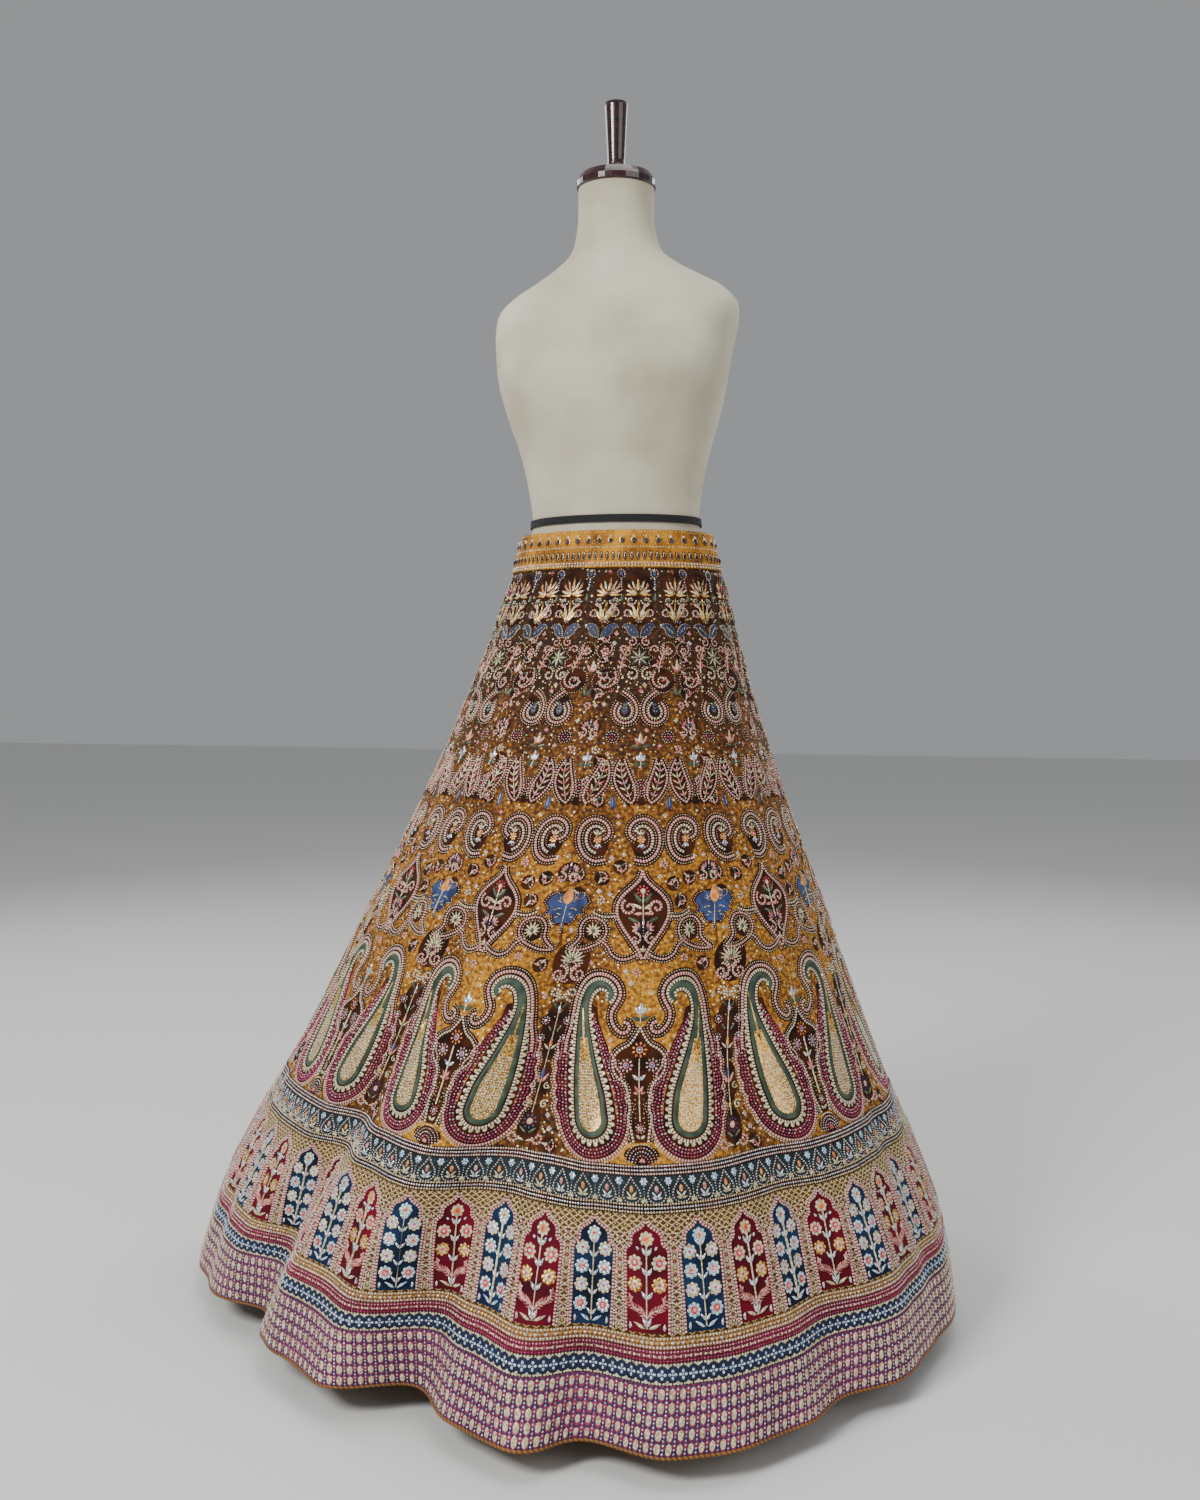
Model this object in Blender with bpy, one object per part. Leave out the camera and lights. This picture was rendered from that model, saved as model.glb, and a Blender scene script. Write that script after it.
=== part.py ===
"""A ten-panel velvet lehenga skirt on a limbless dress form. Metres, +Z up, the form facing -Y."""

from collections import namedtuple
from math import cos, pi, radians, sin

import bmesh
import bpy
import numpy as np

# Skirt: ten flared panels, called kalis, hang from a waistband, with borders laid on their lower part.
KALIS = 10
KALI_COLUMNS = 8
FRONT_SEAM = 10.0
VELVET = 0.0020
TRIM = 0.0010
BAND_CLOTH = 0.0030
SEAM = 0.0003
HEM_SHIFT_X = -0.058
HEM_SHIFT_Y = -0.070
SHIFT_POWER = 1.25
RING_SAMPLES = 1440
PROFILE_SAMPLES = 400

# Height of each level above the floor, and the half width and half depth of the skirt there.
Level = namedtuple("Level", "height half_width half_depth")
LEVELS = [
    Level(0.030, 0.499, 0.499),
    Level(0.112, 0.480, 0.480),
    Level(0.213, 0.438, 0.438),
    Level(0.348, 0.373, 0.373),
    Level(0.490, 0.312, 0.310),
    Level(0.617, 0.256, 0.250),
    Level(0.761, 0.199, 0.184),
    Level(0.860, 0.166, 0.143),
    Level(0.944, 0.142, 0.110),
]
HEM_HEIGHT = LEVELS[0].height
BAND_FOOT = LEVELS[-1].height

# Angles in degrees from the front towards +X. A negative depth is a valley, a positive one a ridge. Each
# fold fades out at its start, a share of the way up, and turns by its lean over the whole height.
Fold = namedtuple("Fold", "angle half_width depth start lean lift")
FOLDS = [
    Fold(-37, 58, -0.086, 0.85, 0, 0.010),
    Fold(-48, 11, -0.034, 0.72, 60, 0.0),
    Fold(-5, 15, -0.086, 0.70, 37, 0.0),
    Fold(8, 9, -0.030, 0.45, 12, 0.0),
    Fold(21, 10, -0.046, 0.50, -10, 0.0),
    Fold(38, 10, 0.012, 0.50, -10, 0.0),
    Fold(58, 9, -0.020, 0.62, -30, 0.0),
    Fold(90, 12, 0.008, 0.50, -12, 0.0),
    Fold(113, 11, -0.060, 0.62, -10, 0.0),
    Fold(137, 12, -0.075, 0.70, -6, 0.0),
    Fold(163, 12, -0.066, 0.55, 0, 0.0),
    Fold(188, 11, -0.074, 0.66, 5, 0.0),
    Fold(212, 13, -0.064, 0.58, 8, 0.0),
    Fold(238, 12, -0.076, 0.70, 12, 0.0),
    Fold(262, 10, -0.052, 0.60, 16, 0.0),
]
FADE_POWER = 1.2

# Borders from the hem up: each is a strip of the given height, laid on the panels.
PIPING = 0.003
Border = namedtuple("Border", "name height colour")
BORDERS = [
    Border("hem_border", 0.064, (0.42, 0.16, 0.27)),
    Border("navy_border", 0.020, (0.05, 0.07, 0.16)),
    Border("maroon_border", 0.012, (0.45, 0.05, 0.16)),
    Border("gold_braid", 0.012, (0.72, 0.58, 0.32)),
    Border("arch_border", 0.114, (0.55, 0.40, 0.16)),
    Border("teal_border", 0.049, (0.06, 0.14, 0.15)),
]
UPPER_ROWS = 6

# Waistband: one strip round the waist, whose end laps over its start at the centre back.
BAND_TOP = 0.993
BAND_TOP_HALF_WIDTH = 0.131
BAND_TOP_HALF_DEPTH = 0.098
BAND_FOOT_HALF_WIDTH = 0.1435
BAND_FOOT_HALF_DEPTH = 0.1115
BAND_LAP = 14.0
BAND_COLUMNS = 72

# Dress form: height, half width, half depth and forward shift of each section, bottom to top.
Section = namedtuple("Section", "height half_width half_depth forward squareness")
TORSO = [
    Section(0.7600, 0.060, 0.040, 0.000, 2.0),
    Section(0.7640, 0.096, 0.068, 0.000, 2.0),
    Section(0.7760, 0.128, 0.092, 0.000, 2.0),
    Section(0.8000, 0.146, 0.106, -0.002, 2.0),
    Section(0.8400, 0.151, 0.112, -0.004, 2.0),
    Section(0.8900, 0.147, 0.111, -0.003, 2.0),
    Section(0.9440, 0.136, 0.104, 0.000, 2.0),
    Section(0.9750, 0.122, 0.093, 0.002, 2.0),
    Section(1.0090, 0.114, 0.084, 0.004, 2.0),
    Section(1.0500, 0.118, 0.086, 0.006, 2.0),
    Section(1.1100, 0.131, 0.094, 0.008, 2.1),
    Section(1.1600, 0.146, 0.107, 0.014, 2.2),
    Section(1.2000, 0.155, 0.113, 0.018, 2.2),
    Section(1.2400, 0.161, 0.104, 0.012, 2.3),
    Section(1.2750, 0.166, 0.090, 0.002, 2.4),
    Section(1.3000, 0.165, 0.078, -0.004, 2.3),
    Section(1.3200, 0.148, 0.068, -0.006, 2.1),
    Section(1.3380, 0.118, 0.060, -0.006, 2.0),
    Section(1.3560, 0.086, 0.055, -0.004, 2.0),
    Section(1.3760, 0.062, 0.052, -0.002, 2.0),
    Section(1.4000, 0.054, 0.051, 0.000, 2.0),
    Section(1.4610, 0.051, 0.050, 0.000, 2.0),
]
TORSO_COLUMNS = 44
TAPE_HEIGHT = 0.010
TAPE_CLOTH = 0.0015
TAPE_MIDDLE = 1.009

# Turned pieces of the form, as (radius, height) profiles from the bottom up.
STAND_BASE = [(0.210, 0.000), (0.210, 0.010), (0.205, 0.014), (0.120, 0.016), (0.030, 0.020), (0.030, 0.028)]
STAND_POLE = [(0.0150, 0.0283), (0.0150, 0.7597)]
NECK_CAP = [(0.0500, 1.4613), (0.0535, 1.4630), (0.0540, 1.4700), (0.0520, 1.4740), (0.0480, 1.4800),
            (0.0350, 1.4848), (0.0200, 1.4860)]
NECK_HANDLE = [(0.0200, 1.4863), (0.0180, 1.4905), (0.0125, 1.4945), (0.0120, 1.5000), (0.0160, 1.5740),
               (0.0150, 1.5780), (0.0100, 1.5790)]
TURNED_COLUMNS = 36


def curve_through(stops, values, at):
    """A smooth curve through the values at the stops, read at each place in at."""
    slopes = np.gradient(values, stops)
    i = np.clip(np.searchsorted(stops, at) - 1, 0, len(stops) - 2)
    span = stops[i + 1] - stops[i]
    t = (at - stops[i]) / span
    start = (1 + 2 * t) * (1 - t) ** 2 * values[i] + t * (1 - t) ** 2 * span * slopes[i]
    end = t * t * (3 - 2 * t) * values[i + 1] + t * t * (t - 1) * span * slopes[i + 1]
    return start + end


LEVEL_TABLE = np.array(LEVELS)
HEIGHTS = np.linspace(HEM_HEIGHT, BAND_FOOT, PROFILE_SAMPLES)
HALF_WIDTHS = curve_through(LEVEL_TABLE[:, 0], LEVEL_TABLE[:, 1], HEIGHTS)
HALF_DEPTHS = curve_through(LEVEL_TABLE[:, 0], LEVEL_TABLE[:, 2], HEIGHTS)
STEPS = np.hypot(np.diff(HEIGHTS), np.diff((HALF_WIDTHS + HALF_DEPTHS) / 2))
SLANTS = np.concatenate([[0], np.cumsum(STEPS)])
SLANT = SLANTS[-1]


def ellipse(turn, half_width, half_depth):
    """Distance from the middle to an ellipse, in the direction that is turned from the front."""
    return 1 / np.hypot(np.sin(turn) / half_width, np.cos(turn) / half_depth)


def skirt_ring(slant):
    """Points round the skirt at a distance up its slope from the hem, from the front seam towards +X."""
    height = np.interp(slant, SLANTS, HEIGHTS)
    up = (height - HEM_HEIGHT) / (BAND_FOOT - HEM_HEIGHT)
    turn = radians(FRONT_SEAM) + np.linspace(0, 2 * pi, RING_SAMPLES + 1)
    half_width = np.interp(slant, SLANTS, HALF_WIDTHS)
    half_depth = np.interp(slant, SLANTS, HALF_DEPTHS)
    radius = ellipse(turn, half_width, half_depth)
    lift = np.zeros_like(turn)
    for fold in FOLDS:
        off = (np.degrees(turn) - fold.angle - fold.lean * up + 180) % 360 - 180
        swell = np.where(abs(off) < fold.half_width, (1 + np.cos(pi * off / fold.half_width)) / 2, 0)
        fade = max(0, 1 - up / fold.start) ** FADE_POWER
        radius += fold.depth * swell * fade
        lift += fold.lift * swell * fade
    shift = (1 - up) ** SHIFT_POWER
    x = HEM_SHIFT_X * shift + radius * np.sin(turn)
    y = HEM_SHIFT_Y * shift - radius * np.cos(turn)
    return np.stack([x, y, height + lift], axis=1)


def along_ring(ring, shares, offset=0.0):
    """Points at shares of the ring's own length, so that cloth isn't stretched round the skirt."""
    run = np.concatenate([[0], np.cumsum(np.linalg.norm(np.diff(ring, axis=0), axis=1))])
    at = (np.asarray(shares) * run[-1] + offset) % run[-1]
    return np.stack([np.interp(at, run, ring[:, axis]) for axis in range(3)], axis=1)


def skirt_grid(slants, shares, offsets, out):
    """A grid of points on the skirt, a row for each slant, moved out along the cloth's normal."""
    step = 0.002
    rows = []
    for slant in slants:
        ring = skirt_ring(slant)
        low, high = (skirt_ring(np.clip(slant + d, 0, SLANT)) for d in (-step, step))
        points = along_ring(ring, shares, offsets)
        across = along_ring(ring, shares, offsets + step) - along_ring(ring, shares, offsets - step)
        upward = along_ring(high, shares, offsets) - along_ring(low, shares, offsets)
        normal = np.cross(across, upward)
        normal /= np.linalg.norm(normal, axis=1, keepdims=True)
        rows.append(points + normal * out)
    return np.array(rows)


def material(name, colour, roughness, metallic=0.0):
    made = bpy.data.materials.new(name)
    made.use_nodes = True
    shader = made.node_tree.nodes["Principled BSDF"]
    shader.inputs["Base Color"].default_value = (*colour, 1)
    shader.inputs["Roughness"].default_value = roughness
    shader.inputs["Metallic"].default_value = metallic
    made.diffuse_color = (*colour, 1)
    return made


def finish(name, mesh, finish_material):
    """Makes the mesh an object, with its faces outward and its round stretches smooth."""
    bmesh.ops.recalc_face_normals(mesh, faces=mesh.faces)
    data = bpy.data.meshes.new(name)
    mesh.to_mesh(data)
    mesh.free()
    data.materials.append(finish_material)
    data.shade_smooth()
    data.set_sharp_from_angle(angle=radians(35))
    made = bpy.data.objects.new(name, data)
    bpy.context.scene.collection.objects.link(made)
    return made


def quad(mesh, a, b, c, d):
    """Two triangles, split from a to c."""
    mesh.faces.new((a, b, c))
    mesh.faces.new((a, c, d))


def wall(name, outer, inner, finish_material, ring):
    """A wall of cloth between two grids of points, each a row of points for each height."""
    mesh = bmesh.new()
    front = [[mesh.verts.new(point) for point in row] for row in outer]
    back = [[mesh.verts.new(point) for point in row] for row in inner]
    top = len(front) - 1
    columns = len(front[0])
    for c in range(columns if ring else columns - 1):
        n = (c + 1) % columns
        for r in range(top):
            quad(mesh, front[r][c], front[r][n], front[r + 1][n], front[r + 1][c])
            quad(mesh, back[r][c], back[r + 1][c], back[r + 1][n], back[r][n])
        quad(mesh, front[0][c], back[0][c], back[0][n], front[0][n])
        quad(mesh, front[top][c], front[top][n], back[top][n], back[top][c])
    if not ring:
        for c in (0, columns - 1):
            for r in range(top):
                quad(mesh, front[r][c], front[r + 1][c], back[r + 1][c], back[r][c])
    return finish(name, mesh, finish_material)


def border_edges():
    """The slant of the foot of each border, and last the head of the top one."""
    edges = [PIPING + SEAM / 2]
    for border in BORDERS:
        edges.append(edges[-1] + border.height)
    return edges


def make_kalis():
    velvet = material("ochre_velvet", (0.62, 0.38, 0.08), 0.85)
    edges = border_edges()
    upper = np.linspace(edges[-1], SLANT - SEAM, UPPER_ROWS + 1)[1:]
    slants = [edges[0] + SEAM / 2, *edges[1:], *upper]
    for kali in range(KALIS):
        shares = (kali + np.arange(KALI_COLUMNS + 1) / KALI_COLUMNS) / KALIS
        offsets = np.zeros(KALI_COLUMNS + 1)
        offsets[0] = SEAM / 2
        offsets[-1] = -SEAM / 2
        outer = skirt_grid(slants, shares, offsets, 0)
        inner = skirt_grid(slants, shares, offsets, -VELVET)
        wall(f"kali_{kali + 1:02d}", outer, inner, velvet, ring=False)


def make_borders():
    shares = np.arange(KALIS * KALI_COLUMNS) / (KALIS * KALI_COLUMNS)
    edges = border_edges()
    for border, low, high in zip(BORDERS, edges, edges[1:]):
        slants = [low + SEAM / 2, high - SEAM / 2]
        outer = skirt_grid(slants, shares, 0, SEAM + TRIM)
        inner = skirt_grid(slants, shares, 0, SEAM)
        wall(border.name, outer, inner, material(border.name, border.colour, 0.7), ring=True)
    slants = [0, PIPING]
    outer = skirt_grid(slants, shares, 0, TRIM / 2)
    inner = skirt_grid(slants, shares, 0, -VELVET)
    wall("hem_piping", outer, inner, material("hem_piping", (0.70, 0.50, 0.42), 0.5, 0.3), ring=True)


def make_waistband():
    """The strip starts and ends at the centre back, and its last stretch lies over its first."""
    turns = np.radians(np.linspace(180 - BAND_LAP / 2, 540 + BAND_LAP / 2, BAND_COLUMNS + 1))
    lap = np.radians(BAND_LAP)
    outward = (BAND_CLOTH + SEAM) * np.clip((turns - radians(540) + 2 * lap) / lap, 0, 1)
    rims = ((BAND_FOOT, BAND_FOOT_HALF_WIDTH, BAND_FOOT_HALF_DEPTH),
            (BAND_TOP, BAND_TOP_HALF_WIDTH, BAND_TOP_HALF_DEPTH))

    def strip(inset):
        rows = []
        for height, half_width, half_depth in rims:
            radius = ellipse(turns, half_width, half_depth) + outward - inset
            rows.append(np.stack([radius * np.sin(turns), -radius * np.cos(turns), 0 * turns + height], axis=1))
        return np.array(rows)

    wall("waistband", strip(0), strip(BAND_CLOTH), material("waistband", (0.70, 0.46, 0.12), 0.8), ring=False)


def torso_ring(section, out=0.0):
    """One level section of the form, an ellipse with slightly squared shoulders."""
    ring = []
    for column in range(TORSO_COLUMNS):
        turn = 2 * pi * column / TORSO_COLUMNS
        power = 2 / section.squareness
        x = (section.half_width + out) * abs(sin(turn)) ** power * (1 if sin(turn) > 0 else -1)
        y = (section.half_depth + out) * abs(cos(turn)) ** power * (1 if cos(turn) > 0 else -1)
        ring.append((x, -y - section.forward, section.height))
    return ring


def torso_section(height):
    table = np.array(TORSO)
    return Section(height, *(float(np.interp(height, table[:, 0], table[:, k])) for k in range(1, 5)))


def make_form():
    mesh = bmesh.new()
    rings = [[mesh.verts.new(point) for point in torso_ring(section)] for section in TORSO]
    for low, high in zip(rings, rings[1:]):
        for c in range(TORSO_COLUMNS):
            n = (c + 1) % TORSO_COLUMNS
            quad(mesh, low[c], low[n], high[n], high[c])
    mesh.faces.new(rings[0])
    mesh.faces.new(rings[-1])
    finish("form_torso", mesh, material("form_cover", (0.80, 0.77, 0.65), 0.8))
    rims = [torso_section(TAPE_MIDDLE + side * TAPE_HEIGHT / 2) for side in (-1, 1)]
    outer = [torso_ring(rim, SEAM * 3 + TAPE_CLOTH) for rim in rims]
    inner = [torso_ring(rim, SEAM * 3) for rim in rims]
    wall("form_waist_tape", outer, inner, material("black_tape", (0.02, 0.02, 0.02), 0.7), ring=True)


def turned(name, profile, finish_material):
    """A solid turned about the form's axis, with a flat foot and a flat head."""
    mesh = bmesh.new()
    path = [mesh.verts.new((0, 0, profile[0][1]))]
    path += [mesh.verts.new((radius, 0, height)) for radius, height in profile]
    path.append(mesh.verts.new((0, 0, profile[-1][1])))
    edges = [mesh.edges.new(pair) for pair in zip(path, path[1:])]
    bmesh.ops.spin(mesh, geom=path + edges, axis=(0, 0, 1), cent=(0, 0, 0), angle=2 * pi,
                   steps=TURNED_COLUMNS, use_merge=True)
    bmesh.ops.remove_doubles(mesh, verts=mesh.verts, dist=0.00005)
    finish(name, mesh, finish_material)


for old in list(bpy.data.objects):
    bpy.data.objects.remove(old)

make_kalis()
make_borders()
make_waistband()
make_form()
turned("stand_base", STAND_BASE, material("black_metal", (0.03, 0.03, 0.035), 0.45, 0.6))
turned("stand_pole", STAND_POLE, material("steel_pole", (0.55, 0.55, 0.56), 0.3, 1.0))
turned("neck_cap", NECK_CAP, material("lacquered_wood", (0.10, 0.02, 0.02), 0.2))
turned("neck_handle", NECK_HANDLE, material("handle_wood", (0.10, 0.02, 0.02), 0.2))
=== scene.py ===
"""A velvet lehenga skirt on a limbless dress form: the finish of every surface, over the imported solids."""

from collections import namedtuple
from math import atan2, cos, degrees, hypot, pi, radians, sin, tau

import bmesh
import bpy
import numpy as np
from mathutils import Matrix, Vector


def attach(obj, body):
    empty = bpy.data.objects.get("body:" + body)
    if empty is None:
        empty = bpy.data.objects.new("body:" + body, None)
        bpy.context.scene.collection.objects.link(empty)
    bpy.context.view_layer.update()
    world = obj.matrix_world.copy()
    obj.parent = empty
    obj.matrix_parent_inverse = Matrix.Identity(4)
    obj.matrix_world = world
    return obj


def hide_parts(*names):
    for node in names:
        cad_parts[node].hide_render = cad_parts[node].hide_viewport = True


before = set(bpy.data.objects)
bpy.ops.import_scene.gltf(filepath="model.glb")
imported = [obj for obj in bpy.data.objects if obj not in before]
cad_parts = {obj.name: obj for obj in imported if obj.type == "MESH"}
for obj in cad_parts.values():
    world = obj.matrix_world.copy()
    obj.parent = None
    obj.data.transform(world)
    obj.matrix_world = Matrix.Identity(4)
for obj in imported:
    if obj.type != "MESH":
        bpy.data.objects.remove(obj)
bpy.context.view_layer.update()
MM = 0.001

# ---- Stand: a turned steel base with a weighted foot and a brushed pole, both under the skirt. The pole is
# screwed into the base and runs up into the form.


class Value:
    """A socket's value, on which Python's operators add Math nodes."""

    def __init__(self, finish, socket):
        self.finish, self.socket = finish, socket

    def math(self, operation, *others):
        return self.finish.node("ShaderNodeMath", {"operation": operation}, self.socket, *others)

    def __add__(self, other):
        return self.math("ADD", other)

    def __mul__(self, other):
        return self.math("MULTIPLY", other)

    def __sub__(self, other):
        return self.math("SUBTRACT", other)

    def __rsub__(self, other):
        return self.finish.node("ShaderNodeMath", {"operation": "SUBTRACT"}, other, self.socket)

    def __lt__(self, other):
        return self.math("LESS_THAN", other)

    def __gt__(self, other):
        return self.math("GREATER_THAN", other)


class Finish:
    """A material being made: its Principled shader and the nodes that feed it."""

    def __init__(self, name, colour, roughness, metallic=0.0, **constants):
        self.material = bpy.data.materials.new(name)
        self.material.use_nodes = True
        self.tree = self.material.node_tree
        self.shader = self.tree.nodes["Principled BSDF"]
        self.set("Base Color", (*colour, 1) if isinstance(colour, tuple) else colour)
        self.set("Roughness", roughness)
        self.set("Metallic", metallic)
        for socket, value in constants.items():
            self.set(socket.replace("_", " "), value)

    def node(self, kind, settings, *inputs, output=0, **named):
        """Adds a node: its settings first, then its sockets by place or by name."""
        made = self.tree.nodes.new(kind)
        for key, value in settings.items():
            if key == "stops":
                ramp = made.color_ramp
                while len(ramp.elements) < len(value):
                    ramp.elements.new(0.5)
                for element, (place, tone) in zip(ramp.elements, value):
                    element.position = place
                    element.color = (*tone, 1)
            else:
                setattr(made, key, value)
        pairs = list(enumerate(inputs)) + [(key.replace("_", " "), value) for key, value in named.items()]
        for key, value in pairs:
            self.feed(made.inputs[key], value)
        return Value(self, made.outputs[output])

    def feed(self, socket, value):
        value = getattr(value, "socket", value)
        if isinstance(value, bpy.types.NodeSocket):
            self.tree.links.new(value, socket)
        else:
            socket.default_value = value

    def set(self, socket, value):
        self.feed(self.shader.inputs[socket], value)

    def place(self, across=1.0, along=1.0, layer=None):
        """The piece's own UV in metres, or its Object coordinates, scaled."""
        if layer:
            source = self.node("ShaderNodeUVMap", {"uv_map": layer})
        else:
            source = self.node("ShaderNodeTexCoord", {}, output="Object")
        return self.node("ShaderNodeMapping", {}, Vector=source, Scale=(across, along, across))

    def noise(self, scale, place, detail=2.0):
        return self.node("ShaderNodeTexNoise", {}, Vector=place, Scale=scale, Detail=detail)

    def dots(self, scale, place, output="Distance", scatter=1.0):
        return self.node("ShaderNodeTexVoronoi", {}, Vector=place, Scale=scale, Randomness=scatter,
                         output=output)

    def axis(self, place, name):
        """One coordinate of a place."""
        return self.node("ShaderNodeSeparateXYZ", {}, place, output=name)

    def ramp(self, factor, *stops):
        return self.node("ShaderNodeValToRGB", {"stops": stops}, factor)

    def mix(self, factor, one, other):
        """A colour between two colours."""
        made = self.tree.nodes.new("ShaderNodeMix")
        made.data_type = "RGBA"
        for key, value in ((0, factor), (6, one), (7, other)):
            self.feed(made.inputs[key], (*value, 1) if isinstance(value, tuple) else value)
        return Value(self, made.outputs[2])

    def sine(self, angle):
        """The sine of an angle, brought to between 0 and 1."""
        return angle.math("SINE") * 0.5 + 0.5

    def line(self, value, width):
        """1 where the value is within width of the middle of its turn."""
        return (value.math("FRACT") - 0.5).math("ABSOLUTE") < width

    def bump(self, height, distance, strength=1.0):
        made = self.node("ShaderNodeBump", {}, Strength=strength, Distance=distance, Height=height)
        self.set("Normal", made)


NODE_SHARP = radians(40)


def dress_node(name, finish):
    """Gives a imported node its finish."""
    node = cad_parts[name]
    node.data.materials.clear()
    node.data.materials.append(finish.material)
    node.data.shade_smooth()
    node.data.set_sharp_from_angle(angle=NODE_SHARP)


base_finish = Finish("black_powder_coat", (0.03, 0.03, 0.035), 0.5, 0.5)
grain = base_finish.noise(900, base_finish.place())
base_finish.set("Roughness", grain * 0.2 + 0.38)
base_finish.bump(grain, 0.0002)
dress_node("stand_base", base_finish)
pole_finish = Finish("brushed_steel", (0.55, 0.55, 0.56), 0.3, 1.0)
brushing = pole_finish.noise(60, pole_finish.place(20, 0.4))
pole_finish.set("Roughness", brushing * 0.25 + 0.2)
dress_node("stand_pole", pole_finish)

# ---- Form: a padded body covered in cream cotton, cut in panels and stitched tight. It has no arms or legs,
# a black tape marks its waist, and a turned and lacquered wooden cap and handle close its neck.

Section = namedtuple("Section", "height half_width half_depth forward squareness")
TORSO = [Section(*row) for row in (
    (0.7600, 0.060, 0.040, 0.000, 2.0),
    (0.7640, 0.096, 0.068, 0.000, 2.0),
    (0.7760, 0.128, 0.092, 0.000, 2.0),
    (0.8000, 0.146, 0.106, -0.002, 2.0),
    (0.8400, 0.151, 0.112, -0.004, 2.0),
    (0.8900, 0.147, 0.111, -0.003, 2.0),
    (0.9440, 0.136, 0.104, 0.000, 2.0),
    (0.9750, 0.122, 0.093, 0.002, 2.0),
    (1.0090, 0.114, 0.084, 0.004, 2.0),
    (1.0500, 0.118, 0.086, 0.006, 2.0),
    (1.1100, 0.131, 0.094, 0.008, 2.1),
    (1.1600, 0.146, 0.107, 0.014, 2.2),
    (1.2000, 0.155, 0.113, 0.018, 2.2),
    (1.2400, 0.161, 0.104, 0.012, 2.3),
    (1.2750, 0.166, 0.090, 0.002, 2.4),
    (1.3000, 0.165, 0.078, -0.004, 2.3),
    (1.3200, 0.148, 0.068, -0.006, 2.1),
    (1.3380, 0.118, 0.060, -0.006, 2.0),
    (1.3560, 0.086, 0.055, -0.004, 2.0),
    (1.3760, 0.062, 0.052, -0.002, 2.0),
    (1.4000, 0.054, 0.051, 0.000, 2.0),
    (1.4610, 0.051, 0.050, 0.000, 2.0),
)]
TORSO_COLUMNS, TORSO_ROWS = 72, 74
WELD = 0.00005
PIECE_SHARP = radians(60)


def curve_through(stops, values, at):
    """A smooth curve through the values at the stops, read at each place in at."""
    slopes = np.gradient(values, stops)
    i = np.clip(np.searchsorted(stops, at) - 1, 0, len(stops) - 2)
    span = stops[i + 1] - stops[i]
    t = (at - stops[i]) / span
    start = (1 + 2 * t) * (1 - t) ** 2 * values[i] + t * (1 - t) ** 2 * span * slopes[i]
    end = t * t * (3 - 2 * t) * values[i + 1] + t * t * (t - 1) * span * slopes[i + 1]
    return start + end


def add_piece(name, data, finishes):
    """A finished mesh as an object that rides on the form's body."""
    for finish in finishes:
        data.materials.append(finish.material)
    data.shade_smooth()
    made = bpy.data.objects.new(name, data)
    bpy.context.scene.collection.objects.link(made)
    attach(made, "root")
    return made


def make_object(name, mesh, finish):
    """The bmesh as a piece of one finish, sharp where its faces turn by more than 60 degrees."""
    data = bpy.data.meshes.new(name)
    mesh.to_mesh(data)
    mesh.free()
    made = add_piece(name, data, [finish])
    data.set_sharp_from_angle(angle=PIECE_SHARP)
    return made


cover = Finish("cream_cotton_cover", (0.60, 0.56, 0.42), 0.88, Sheen_Weight=0.06, Sheen_Roughness=0.5)
weave = cover.noise(2600, cover.place(), 1.0)
smudge = cover.noise(9, cover.place(), 3.0)
cover.set("Base Color", cover.ramp(smudge, (0.30, (0.46, 0.42, 0.29)), (0.52, (0.58, 0.54, 0.40)),
                                   (0.75, (0.68, 0.64, 0.50))))
cover.bump(weave, 0.0003, 0.5)
torso = np.array(TORSO)
climb = np.concatenate([[0], np.cumsum(np.hypot(np.diff(torso[:, 0]), np.diff(torso[:, 1])))])
mesh = bmesh.new()
made = bmesh.ops.create_grid(mesh, x_segments=TORSO_COLUMNS, y_segments=TORSO_ROWS, size=0.5)["verts"]
unit = np.array([vert.co for vert in made]) + (0.5, 0.5, 0)
sections = [curve_through(climb, torso[:, k], unit[:, 1] * climb[-1]) for k in range(5)]
height, half_width, half_depth, forward, squareness = sections
across, ahead = np.sin(unit[:, 0] * tau), np.cos(unit[:, 0] * tau)
x = half_width * np.sign(across) * abs(across) ** (2 / squareness)
y = -half_depth * np.sign(ahead) * abs(ahead) ** (2 / squareness) - forward
for vert, point in zip(made, np.stack([x, y, height], axis=1)):
    vert.co = point
bmesh.ops.remove_doubles(mesh, verts=mesh.verts, dist=WELD)
bmesh.ops.holes_fill(mesh, edges=[edge for edge in mesh.edges if edge.is_boundary])
bmesh.ops.recalc_face_normals(mesh, faces=mesh.faces)
torso_cover = make_object("form_torso_cover", mesh, cover)
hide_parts("form_torso")
tape = Finish("black_cotton_tape", (0.012, 0.012, 0.014), 0.8)
tape.bump(tape.node("ShaderNodeTexWave", {"bands_direction": "Z"}, Vector=tape.place(), Scale=400), 0.0003)
dress_node("form_waist_tape", tape)
lacquer = Finish("lacquered_wood", (0.05, 0.012, 0.012), 0.18, Coat_Roughness=0.08)
figure = lacquer.noise(18, lacquer.place(6, 1), 4.0)
lacquer.set("Base Color", lacquer.ramp(figure, (0.35, (0.008, 0.003, 0.003)), (0.65, (0.045, 0.007, 0.009))))
lacquer.set("Coat Weight", 0.6)
dress_node("neck_handle", lacquer)
dress_node("neck_cap", lacquer)

# ---- Panels: ten flared kalis of ochre velvet, seamed from the waistband to the hem. They hang in soft
# flutes, with finer creases where the heavy hem pulls them. x runs across a panel and s up its slope from
# the hem.

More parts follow.
